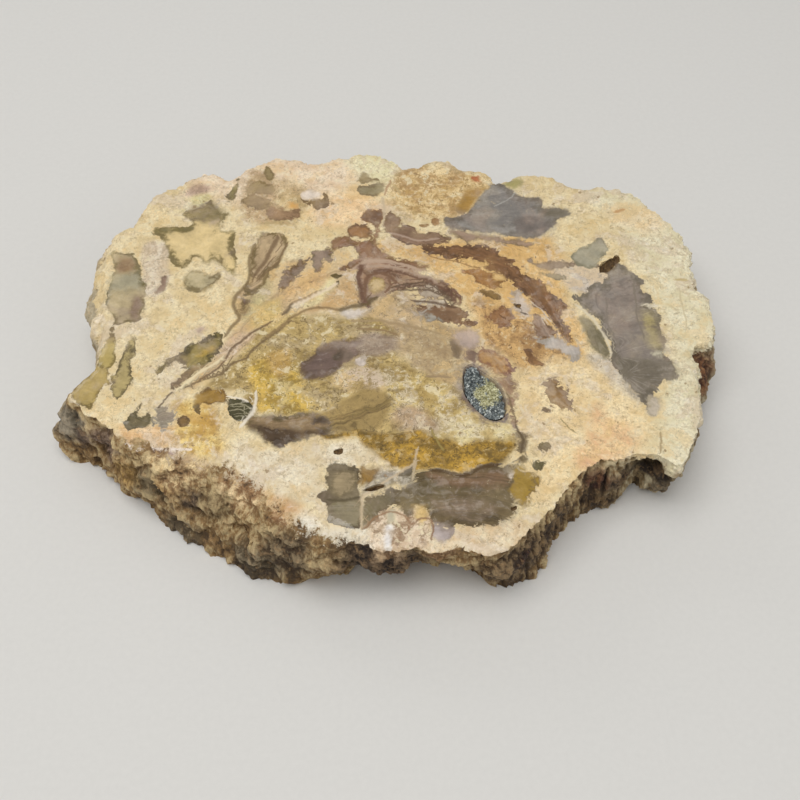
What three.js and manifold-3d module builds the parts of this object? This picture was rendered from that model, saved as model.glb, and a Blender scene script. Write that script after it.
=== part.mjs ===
// A slice sawn across a petrified log: a flat polished face, a sawn base and a rough bark wall.
// Two pieces: the stone slice, and the crust of small crystals that lines the hollow in its face.
// Millimetres, +Z up, the base on Z = 0 and the middle of the slice's box on the Z axis.
import * as THREE from "three";
import { ImprovedNoise } from "three/addons/math/ImprovedNoise.js";
import { mergeVertices } from "three/addons/utils/BufferGeometryUtils.js";
import Module from "manifold-3d";

const wasm = await Module();
wasm.setup();

// ---- Driving dimensions ----
const THICKNESS = 24; // base to polished face
const RIM_CENTRE = new THREE.Vector2(1.6, 0.75); // middle of the slice's box in the rim's drawing
const COLUMNS = 232; // points round the wall
const ROW_DEPTHS = [0, 0.7, 2.3, 4.3, 6.4, 8.6, 10.9, 13.2, 15.5, 17.8, 20.2, 22.5, 24];
const NORMAL_SPREAD = 11; // length of rim over which the wall's outward direction is averaged

// Edge of the polished face, seen from above, from the left tip round the back, right and front.
const RIM = [
  [-81.7, -21], [-79, -17], [-77, -14], [-75.4, -11], [-75, -5], [-75.4, 2], [-76.4, 10],
  [-76.8, 17], [-78.2, 23], [-78.8, 28.5], [-77.5, 33], [-73, 37.5], [-70, 40], [-69, 47],
  [-65, 52.3], [-61, 53], [-58, 56.5], [-51, 59], [-46.5, 56.5], [-43, 59], [-37, 63],
  [-32, 65.5], [-28, 65], [-23, 63], [-17, 64.2], [-13, 65.5], [-4, 66.7], [1, 65.5],
  [6, 61], [8.5, 62], [10.5, 61], [13, 63.5], [17.5, 65.2], [22, 61.5], [26, 60],
  [31.5, 58], [33, 55], [37, 56], [41, 58.8], [50, 57.5], [54, 54.5], [58.5, 53],
  [66, 53], [74, 51], [77.5, 46], [83, 39], [86, 30], [86.8, 22], [86.6, 15.4],
  [89.4, 12.4], [90.2, 7], [89.8, 1], [88.3, -2.3], [84.6, -3.9], [82.4, -7], [82, -12],
  [83, -17], [82, -26], [80, -33], [77, -38.5], [74.5, -41.8], [71.5, -39], [66.5, -37.5],
  [60, -39.4], [55, -40], [49.3, -44], [45, -49.6], [40, -55.3], [36.5, -58.8], [33, -62.5],
  [30, -65], [25, -66], [19, -64], [14, -65.2], [8, -64], [3, -65.6], [-1, -64.6], [-4, -63.8],
  [-7, -62.6], [-9.5, -64.6], [-15, -63.4], [-20.5, -61], [-25, -57.4], [-29.5, -53.4],
  [-33.3, -48], [-37.5, -46], [-45, -43.6], [-54, -40], [-62, -36.8], [-66.3, -34.6],
  [-68.8, -30.4], [-75, -26.2], [-79, -23],
];

// How far the wall stands out from the rim at each of PROFILE_DEPTHS, at places round the rim.
const PROFILE_DEPTHS = [0, 2.6, 8.4, 15.6, 24];
const WALL_PROFILES = [
  { at: [-81.7, -21], out: [0, 1.8, 4, 6.4, 7.8] },
  { at: [-77, -14], out: [0, 0.6, 2.4, 4.6, 6] },
  { at: [-75, -8], out: [0, 1, 2, 2.6, 3] },
  { at: [-75.4, 2], out: [0, 3, 5, 4.2, 2.6] },
  { at: [-76.8, 17], out: [0, 3.6, 6.2, 5, 3] },
  { at: [-78.8, 28.5], out: [0, 2, 3.6, 3.4, 1.6] },
  { at: [-73, 37.5], out: [0, 1.5, 3, 3, 1] },
  { at: [-65, 52.3], out: [0, 1.5, 2.5, 2, 0] },
  { at: [-51, 59], out: [0, 1.5, 3, 2.5, 0.5] },
  { at: [-32, 65.5], out: [0, 1, 2, 1.5, -1] },
  { at: [-4, 66.7], out: [0, 1.2, 2.5, 2, 0] },
  { at: [17.5, 65.2], out: [0, 1.2, 2.2, 1.5, -0.5] },
  { at: [33, 55], out: [0, 0.8, 1.4, 1.4, 0] },
  { at: [50, 57.5], out: [0, 1, 2.4, 2.4, 0.4] },
  { at: [74, 51], out: [0, 1.5, 3, 3, 1] },
  { at: [86.8, 22], out: [0, 1, 1.6, 1.6, 0.5] },
  { at: [90, 4], out: [0, 0.4, 0, 0.9, 0] },
  { at: [84.6, -3.9], out: [0, 2.8, 5.4, 6.4, 4.4] },
  { at: [82.2, -9], out: [0, 3.6, 6.8, 7.4, 5.6] },
  { at: [82.8, -15], out: [0, 1.4, 3, 3.4, 2.6] },
  { at: [82, -26], out: [0, 0.5, 1, 0.6, -1] },
  { at: [77, -38.5], out: [0, 0.4, 0.6, -1.4, -5] },
  { at: [74.5, -41.8], out: [0, 0.4, 0.2, -2.6, -7] },
  { at: [66.5, -37.5], out: [0, -0.4, -1, -2.4, -3.6] },
  { at: [60, -39.4], out: [0, 0.3, 1, 1.6, 2] },
  { at: [49.3, -44], out: [0, 0.4, 0.8, 1.2, 1.6] },
  { at: [43, -51.8], out: [0, 0.4, 0.7, 0.8, 0.8] },
  { at: [38, -57.4], out: [0, 0.6, 1.6, 3, 4] },
  { at: [33, -62.5], out: [0, 0.6, 1, 1, 0.8] },
  { at: [29, -65.3], out: [0, 0.5, 0.6, -1.6, -4] },
  { at: [23, -65.4], out: [0, 0.5, 0, -5, -7.6] },
  { at: [14, -65.2], out: [0, 0.4, -1, -6, -8] },
  { at: [3, -65.6], out: [0, 0.6, 0.8, -4.6, -7.4] },
  { at: [-9.5, -64.6], out: [0, 0.8, 1.6, -2.6, -6] },
  { at: [-17, -62.6], out: [0, 0.8, 2.2, 0.4, -2.4] },
  { at: [-23, -59], out: [0, 1.2, 3, 3.6, 3.6] },
  { at: [-29.5, -53.4], out: [0, 1.6, 4.6, 7.6, 9.2] },
  { at: [-36, -46.6], out: [0, 1.8, 5.2, 9, 11] },
  { at: [-45, -43.6], out: [0, 1.5, 4.2, 6.8, 7.8] },
  { at: [-54, -40], out: [0, 1.4, 3.8, 6, 7] },
  { at: [-62, -36.8], out: [0, 0.9, 2, 2.6, 2.8] },
  { at: [-68.8, -30.4], out: [0, 1, 2.4, 3.4, 3.6] },
  { at: [-74, -27], out: [0, 0.8, 1.4, 2, 2] },
  { at: [-79, -23], out: [0, 1.4, 3.2, 5, 6] },
];

// Relief of the wall: how far it swings in and out, and the size of its features.
const LUMPS = { height: 1.9, size: 8 };
const CRUMBS = { height: 1.5, size: 4.4 };
const RIBS = { height: 1.5, width: 3.4, length: 19 }; // upright fibres, on the back and the right
const STRATA = { height: 1, width: 15, length: 3.4 }; // level ledges, on the left front flank
const SHOULDER_DEPTH = 3.2; // relief fades in over this depth below the polished edge
const FOOT_RELIEF = 0.55; // share of the relief left at the sawn base

// The crystal-lined hollow in the polished face: its edge, and its bowl.
const HOLLOW = [
  [24, -10.5], [26.5, -13], [29, -15], [31, -17.5], [32.5, -22], [32.5, -26], [31, -28.2],
  [28, -28.2], [25, -25.5], [22.5, -22], [21.3, -19], [21.3, -15.5], [22, -12],
];
const HOLLOW_POINTS = 30;
const HOLLOW_DEPTH = 4.4;
const CRUST_GAP = 0.3; // between the crust and the stone
const CRUST_SKIN = 0.7; // thickness of the crust in the valleys between its crystals
const CRYSTAL_STEP = 1.02; // from a crystal's tip to the valleys round it
const CRYSTAL_HEIGHT = [0.7, 1.9]; // from its valleys to its tip
const CRUST_RECESS = 0.3; // highest tips below the polished face

// Pits and cracks, as squashed faceted balls: centre, half sizes, and turn about Z in degrees.
const PITS = [
  { at: [63.3, 23.2, 24], half: [3.3, 1.7, 3.2], turn: 48 },
  { at: [66.2, 25.6, 24], half: [1.6, 1.1, 2], turn: 80 },
  { at: [-1.2, -47.9, 24], half: [2.6, 0.8, 2], turn: 14 },
  { at: [-10.5, -37.5, 24], half: [1.4, 0.9, 1.3], turn: 20 },
  { at: [37.5, 9, 24], half: [0.8, 0.7, 0.9], turn: 0 },
  { at: [32.7, -53.5, 24], half: [0.9, 0.6, 0.9], turn: 30 },
  { at: [67.8, -37.6, 17.2], half: [5.6, 5, 3.8], turn: -14 },
  { at: [74.5, -38.6, 16.4], half: [4.4, 3.6, 2.2], turn: -24 },
  { at: [56, -42, 14.5], half: [2, 2, 1.6], turn: -30 },
  { at: [51.4, -44.6, 12.5], half: [1.6, 1.9, 2], turn: -40 },
  { at: [49.3, -45.8, 17.6], half: [1.4, 1.5, 1.2], turn: -40 },
  { at: [85.6, -7, 21], half: [3.2, 4.2, 2.6], turn: 10 },
  { at: [-47, -48.6, 13], half: [4, 2.4, 1.6], turn: 22 },
  { at: [-35, -54.6, 12.4], half: [4.4, 2.6, 1.4], turn: 34 },
  { at: [-57, -43, 11], half: [2.6, 2.2, 1.6], turn: 20 },
  { at: [-66.5, -37.4, 13], half: [2.4, 2.2, 2.6], turn: 40 },
  { at: [-84.6, -16, 12], half: [2, 3, 2.2], turn: 20 },
  { at: [7.4, 63.6, 15], half: [3, 2.6, 6], turn: 0 },
  { at: [-71.5, 44, 14], half: [2.4, 3.4, 4], turn: -12 },
  { at: [62, 56, 11], half: [3.6, 2.2, 3.6], turn: 5 },
  { at: [33.6, 57.4, 12], half: [2, 3.2, 7], turn: 0 },
  { at: [-44, 61, 13], half: [3, 2.4, 3], turn: 20 },
  { at: [88.4, 22, 9], half: [2.2, 3.6, 2.8], turn: 0 },
];

const noise = new ImprovedNoise();

// ---- Curves and solids ----

function closedCurve(points) {
  const corners = points.map(([x, y]) => new THREE.Vector3(x, y, 0));
  const curve = new THREE.CatmullRomCurve3(corners, true, "centripetal");
  curve.arcLengthDivisions = 3000;
  return curve;
}

// Evenly spaced points of a closed curve, turning anticlockwise.
function evenPoints(curve, count) {
  const points = curve.getSpacedPoints(count).slice(0, count);
  return THREE.ShapeUtils.area(points) < 0 ? points.reverse() : points;
}

function solidFrom(positions, triangles) {
  const vertProperties = new Float32Array(positions);
  const triVerts = new Uint32Array(triangles);
  return new wasm.Manifold(new wasm.Mesh({ numProp: 3, vertProperties, triVerts }));
}

function solidOfGeometry(geometry) {
  geometry.deleteAttribute("normal");
  geometry.deleteAttribute("uv");
  const merged = mergeVertices(geometry, 1e-4);
  return solidFrom(merged.attributes.position.array, merged.index.array);
}

function geometryOfSolid(solid) {
  const mesh = solid.getMesh();
  const geometry = new THREE.BufferGeometry();
  geometry.setAttribute("position", new THREE.BufferAttribute(mesh.vertProperties, 3));
  geometry.setIndex(new THREE.BufferAttribute(mesh.triVerts, 1));
  const flat = geometry.toNonIndexed();
  flat.computeVertexNormals();
  return flat;
}

// A closed solid through rings of equal length, listed from top to bottom, anticlockwise from above.
function solidThroughRings(rings) {
  const count = rings[0].length;
  const positions = rings.flat().flatMap((p) => [p.x, p.y, p.z]);
  const triangles = [];
  for (let row = 0; row + 1 < rings.length; row += 1) {
    for (let i = 0; i < count; i += 1) {
      const next = (i + 1) % count;
      const [a, b] = [row * count + i, row * count + next];
      triangles.push(a, a + count, b, b, a + count, b + count);
    }
  }
  const last = (rings.length - 1) * count;
  for (const [a, b, c] of THREE.ShapeUtils.triangulateShape(rings[0], [])) {
    triangles.push(a, b, c);
  }
  for (const [a, b, c] of THREE.ShapeUtils.triangulateShape(rings.at(-1), [])) {
    triangles.push(last + a, last + c, last + b);
  }
  return solidFrom(positions, triangles);
}

// ---- The wall of the slice ----

// Outward directions along the rim, each averaged over NORMAL_SPREAD of its length.
function outwardDirections(rim, length) {
  const reach = Math.max(2, Math.round((NORMAL_SPREAD / length) * rim.length));
  return rim.map((_, i) => {
    const ahead = rim[(i + reach) % rim.length];
    const behind = rim[(i - reach + rim.length) % rim.length];
    return new THREE.Vector3(ahead.y - behind.y, behind.x - ahead.x, 0).normalize();
  });
}

function nearestColumn(rim, [x, y]) {
  const place = new THREE.Vector3(x, y, 0);
  const gaps = rim.map((p) => p.distanceTo(place));
  return gaps.indexOf(Math.min(...gaps));
}

function smooth(t) {
  return t * t * (3 - 2 * t);
}

// The wall's profile at every column, blended between the two nearest listed places.
function profilesRound(rim) {
  const stops = WALL_PROFILES.map(({ at, out }) => ({ column: nearestColumn(rim, at), out }));
  stops.sort((a, b) => a.column - b.column);
  return rim.map((_, i) => {
    const after = stops.findIndex((stop) => stop.column > i);
    const next = stops[after < 0 ? 0 : after];
    const previous = stops.at(after < 0 ? -1 : after - 1);
    const span = (next.column - previous.column + rim.length) % rim.length;
    const share = smooth(((i - previous.column + rim.length) % rim.length) / span);
    return previous.out.map((value, k) => THREE.MathUtils.lerp(value, next.out[k], share));
  });
}

function outAtDepth(out, depth) {
  const k = Math.max(1, PROFILE_DEPTHS.findIndex((d) => d >= depth));
  const [upper, lower] = [PROFILE_DEPTHS[k - 1], PROFILE_DEPTHS[k]];
  return THREE.MathUtils.lerp(out[k - 1], out[k], smooth((depth - upper) / (lower - upper)));
}

// Share of level strata, 1 on the left front flank and 0 on the back and the right.
function strataShare(point) {
  return THREE.MathUtils.smoothstep(-point.y - 0.6 * point.x, 20, 55);
}

function relief(point, along, depth) {
  const { x, y } = point;
  const lumps = LUMPS.height * noise.noise(x / LUMPS.size, y / LUMPS.size, depth / LUMPS.size);
  const crumbs = CRUMBS.height * noise.noise(y / CRUMBS.size, depth / CRUMBS.size, x / CRUMBS.size);
  const ribs = RIBS.height * noise.noise(along / RIBS.width, depth / RIBS.length, 7.5);
  const strata = STRATA.height * noise.noise(along / STRATA.width, depth / STRATA.length, 2.5);
  const share = strataShare(point);
  const shoulder = smooth(Math.min(1, depth / SHOULDER_DEPTH));
  const foot = THREE.MathUtils.lerp(1, FOOT_RELIEF, smooth(depth / THICKNESS));
  return shoulder * foot * (lumps + crumbs + (1 - share) * ribs + share * strata);
}

function sliceSolid() {
  const curve = closedCurve(RIM);
  const length = curve.getLength();
  const rim = evenPoints(curve, COLUMNS);
  const outward = outwardDirections(rim, length);
  const profiles = profilesRound(rim);
  const rings = ROW_DEPTHS.map((depth) =>
    rim.map((point, i) => {
      const along = (i / COLUMNS) * length;
      const out = outAtDepth(profiles[i], depth) + relief(point, along, depth);
      const inner = depth > 0 && depth < THICKNESS;
      const sag = inner ? 0.5 * noise.noise(point.x / 3.1, point.y / 3.1, depth / 2.3) : 0;
      const place = point.clone().addScaledVector(outward[i], out);
      return place.setZ(THICKNESS - depth + sag);
    }),
  );
  return solidThroughRings(rings);
}

// ---- Pits ----

function pitSolid({ at, half, turn }) {
  const ball = new THREE.IcosahedronGeometry(1, 1);
  const place = ball.attributes.position;
  for (let i = 0; i < place.count; i += 1) {
    const p = new THREE.Vector3().fromBufferAttribute(place, i);
    p.multiplyScalar(1 + 0.35 * noise.noise(p.x * 1.3 + at[0], p.y * 1.3 + at[1], p.z * 1.3));
    place.setXYZ(i, p.x, p.y, p.z);
  }
  ball.scale(...half);
  ball.rotateZ(THREE.MathUtils.degToRad(turn));
  ball.translate(...at);
  return solidOfGeometry(ball);
}

// ---- The crystal-lined hollow ----

const hollowEdge = evenPoints(closedCurve(HOLLOW), HOLLOW_POINTS);
const hollowCentre = hollowEdge.reduce((sum, p) => sum.add(p), new THREE.Vector3());
hollowCentre.divideScalar(HOLLOW_POINTS);

// Depth of the bowl at a share of the way from its middle (0) to its edge (1).
function bowlDepth(share) {
  return HOLLOW_DEPTH * (1 - Math.min(1, share) ** 4);
}

// A ring of the bowl, drawn in by an inset, at a height over the base.
function bowlRing(share, inset, height) {
  return hollowEdge.map((edge) => {
    const radius = edge.clone().sub(hollowCentre);
    radius.setLength(share * (radius.length() - inset));
    return radius.add(hollowCentre).setZ(height);
  });
}

// The space of the hollow, a gap inside its bowl and edge, from the bowl up to a height.
function hollowSpace(gap, top) {
  const shares = [0.98, 0.92, 0.82, 0.68, 0.48, 0.24];
  const mouth = [bowlRing(1.02, gap, top), bowlRing(1, gap, THICKNESS - CRUST_RECESS)];
  const bowl = shares.map((share) => bowlRing(share, gap, THICKNESS - bowlDepth(share) + gap));
  return solidThroughRings([...mouth, ...bowl]);
}

// How far a point lies from the middle of the hollow (0) towards its edge (1).
function shareOfHollow(x, y) {
  const radius = new THREE.Vector3(x, y, 0).sub(hollowCentre);
  const turns = hollowEdge.map((edge) => radius.angleTo(edge.clone().sub(hollowCentre)));
  const edge = hollowEdge[turns.indexOf(Math.min(...turns))];
  return radius.length() / edge.distanceTo(hollowCentre);
}

// A slab whose top is a close lattice of pointed crystals that follows the bowl.
// Every third point of the lattice is a tip, and the six points round it are its valleys.
function crystalSlab(columns, rows) {
  const random = THREE.MathUtils.seededRandom;
  random(41);
  const [top, under, triangles] = [[], [], []];
  for (let j = 0; j <= rows; j += 1) {
    for (let i = 0; i <= columns; i += 1) {
      const isTip = (i - Math.floor(j / 2) - j + 3 * rows) % 3 === 0;
      const jitter = [random() - 0.5, random() - 0.5, random()];
      const x = hollowCentre.x + CRYSTAL_STEP * (i + 0.5 * (j % 2) - columns / 2 + 0.45 * jitter[0]);
      const y = hollowCentre.y + CRYSTAL_STEP * (0.866 * (j - rows / 2) + 0.45 * jitter[1]);
      const valley = THICKNESS - bowlDepth(shareOfHollow(x, y)) + CRUST_GAP + CRUST_SKIN;
      const rise = isTip ? THREE.MathUtils.lerp(...CRYSTAL_HEIGHT, jitter[2]) : 0.3 * jitter[2];
      top.push(x, y, Math.min(valley + rise, THICKNESS - CRUST_RECESS - 0.4 * jitter[2]));
      under.push(x, y, THICKNESS - HOLLOW_DEPTH - 1);
    }
  }
  const wide = columns + 1;
  const lower = wide * (rows + 1);
  for (let j = 0; j < rows; j += 1) {
    for (let i = 0; i < columns; i += 1) {
      const [a, b, c, d] = [j * wide + i, j * wide + i + 1, (j + 1) * wide + i, (j + 1) * wide + i + 1];
      const cell = j % 2 ? [[a, b, d], [a, d, c]] : [[a, b, c], [b, d, c]];
      for (const [p, q, r] of cell) triangles.push(p, q, r, lower + p, lower + r, lower + q);
    }
  }
  for (let i = 0; i < columns; i += 1) {
    const back = rows * wide + i;
    triangles.push(i, lower + i, i + 1, i + 1, lower + i, lower + i + 1);
    triangles.push(back + 1, lower + back + 1, back, back, lower + back + 1, lower + back);
  }
  for (let j = 0; j < rows; j += 1) {
    const [left, right] = [j * wide, j * wide + columns];
    triangles.push(left + wide, lower + left + wide, left, left, lower + left + wide, lower + left);
    triangles.push(right, lower + right, right + wide);
    triangles.push(right + wide, lower + right, lower + right + wide);
  }
  return solidFrom([...top, ...under], triangles);
}

// ---- The two pieces ----

function namedMesh(name, solid, material) {
  const mesh = new THREE.Mesh(geometryOfSolid(solid), material);
  mesh.name = name;
  return mesh;
}

function stoneSlice() {
  const cutters = [hollowSpace(0, THICKNESS + 1), ...PITS.map(pitSolid)];
  const stone = cutters.reduce((solid, cutter) => solid.subtract(cutter), sliceSolid());
  const finish = { color: 0xcdb083, roughness: 0.55, metalness: 0 };
  return namedMesh("petrified_wood_slice", stone, new THREE.MeshStandardMaterial(finish));
}

function crystalCrust() {
  const space = hollowSpace(CRUST_GAP, THICKNESS - CRUST_RECESS / 2);
  const crust = crystalSlab(16, 26).intersect(space);
  const finish = { color: 0x59616b, roughness: 0.2, metalness: 0 };
  return namedMesh("crystal_crust", crust, new THREE.MeshStandardMaterial(finish));
}

const group = new THREE.Group();
group.add(stoneSlice(), crystalCrust());
group.position.set(-RIM_CENTRE.x, -RIM_CENTRE.y, 0);

export default group;
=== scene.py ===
"""A slice of petrified wood: polished face, rough bark wall, sawn base, and a hollow lined with crystals.

The frame gives the stone's form. This script rebuilds its surface finer, with crumbly relief on the wall,
draws the face's mineral patches as outlines in millimetres, and grows the hollow's crystals.
"""

import logging
import math
from dataclasses import dataclass, field
from enum import Enum

import bpy
import numpy as np
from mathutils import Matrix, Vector, geometry, noise
from mathutils.bvhtree import BVHTree
from mathutils.kdtree import KDTree


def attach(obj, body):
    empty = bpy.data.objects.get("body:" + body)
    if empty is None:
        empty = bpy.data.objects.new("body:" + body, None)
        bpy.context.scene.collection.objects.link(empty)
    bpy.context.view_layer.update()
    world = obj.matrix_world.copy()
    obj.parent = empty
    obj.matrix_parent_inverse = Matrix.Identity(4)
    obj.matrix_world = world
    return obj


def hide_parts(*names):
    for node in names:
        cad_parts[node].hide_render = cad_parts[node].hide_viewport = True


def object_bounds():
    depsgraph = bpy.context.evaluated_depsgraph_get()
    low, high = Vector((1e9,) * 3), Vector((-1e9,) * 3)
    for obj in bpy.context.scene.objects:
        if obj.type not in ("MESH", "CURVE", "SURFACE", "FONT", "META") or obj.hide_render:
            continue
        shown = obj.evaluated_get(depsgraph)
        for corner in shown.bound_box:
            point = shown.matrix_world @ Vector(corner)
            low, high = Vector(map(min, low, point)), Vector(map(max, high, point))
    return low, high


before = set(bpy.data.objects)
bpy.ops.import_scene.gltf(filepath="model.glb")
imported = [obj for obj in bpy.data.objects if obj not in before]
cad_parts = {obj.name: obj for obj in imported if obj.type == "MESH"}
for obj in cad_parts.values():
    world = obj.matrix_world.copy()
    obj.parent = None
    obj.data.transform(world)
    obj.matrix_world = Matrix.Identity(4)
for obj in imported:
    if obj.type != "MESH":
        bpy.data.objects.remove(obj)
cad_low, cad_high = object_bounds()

log = logging.getLogger("petrified_wood_slice")

MM = 0.001
THICKNESS = 24.0  # base to polished face, mm
DRAWING_ORIGIN = (-1.6, -0.75)  # where the outlines' own zero lies in the part's frame, mm

Outline = str  # "x,y x,y" and so on, mm
Colour = tuple[float, float, float, float]
Socket = bpy.types.NodeSocket
Value = float | Socket


def linear(hex_colour: str) -> Colour:
    """Turns an sRGB hex colour to linear light.

    Args:
        hex_colour: the colour, such as "#E3CFA0".

    Returns:
        red, green, blue and alpha, each from 0 to 1.
    """
    shares = [int(hex_colour[i : i + 2], 16) / 255 for i in (1, 3, 5)]
    return tuple(s / 12.92 if s <= 0.04045 else ((s + 0.055) / 1.055) ** 2.4 for s in shares) + (1.0,)


def add_object(name: str, data: bpy.types.ID) -> bpy.types.Object:
    """Puts a new object in the scene.

    Args:
        name: its name.
        data: its mesh, light or camera.

    Returns:
        the object.
    """
    made = bpy.data.objects.new(name, data)
    bpy.context.scene.collection.objects.link(made)
    return made


# ---- What is drawn on the polished face ----


class Layer(Enum):
    """The layers of crisp patches on the face, the lower first."""

    PATCH = "patch"
    INLAY = "inlay"


@dataclass(frozen=True)
class Zone:
    """A part of the ground with soft edges, its own pair of tones, and a third one in flecks."""

    outline: Outline
    pale: str
    deep: str
    fleck: str = "#CDB48C"
    flecked: float = 0.5
    streak: float = 0.0  # how far its pattern runs in streaks along the grain, and not in blotches
    feather: float = 2.0  # half the width of its soft edge, mm
    share: float = 1.0  # how far it hides what lies below

    def values(self) -> dict[str, Colour | float]:
        """Attribute name to what this zone sets there."""
        tones = {f"ground_{name}": linear(getattr(self, name)) for name in ("pale", "deep", "fleck")}
        return tones | {"ground_flecked": self.flecked, "ground_streak": self.streak}


@dataclass(frozen=True)
class Patch:
    """A mineral patch with a crisp edge: one tone in its core, one along its rim."""

    outline: Outline
    core: str
    rim: str
    rim_width: float = 0.9  # mm
    soft: float = 0.12  # half the width of its edge, mm
    ragged: float = 0.35  # how torn its edge is
    grain: float = 0.25  # how far the grain shows in it

    def values(self, layer: str) -> dict[str, Colour | float | tuple[float, float, float]]:
        """Attribute name to what this patch sets in its layer."""
        tones = {f"{layer}_core": linear(self.core), f"{layer}_rim": linear(self.rim)}
        edge = (self.rim_width, self.soft, self.ragged)
        return tones | {f"{layer}_edge": edge, f"{layer}_grain": self.grain}


@dataclass(frozen=True)
class Line:
    """A vein or a dark growth line, drawn along its middle."""

    path: Outline
    colour: str
    width: float = 0.5  # mm


@dataclass(frozen=True)
class Guide:
    """A line that the grain follows."""

    path: Outline
    level: float  # its place across the grain, mm


@dataclass(frozen=True)
class Stain:
    """A soft blob of other tones in the bark wall."""

    centre: tuple[float, float, float]  # mm
    radius: float  # mm
    pale: str
    deep: str
    share: float = 1.0


GROUND = Zone("", "#ECDAB0", "#DEC694")
BARE = Patch("", "#C0B080", "#C0B080", rim_width=1.0, soft=0.2, ragged=0.3, grain=0.0)
BARK = Stain((0, 0, 0), 0, "#CFB788", "#86683F")
DARK = "#5E4C34"
TAUPE = "#8A6F52"
CHALK = "#EADFCB"

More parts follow.
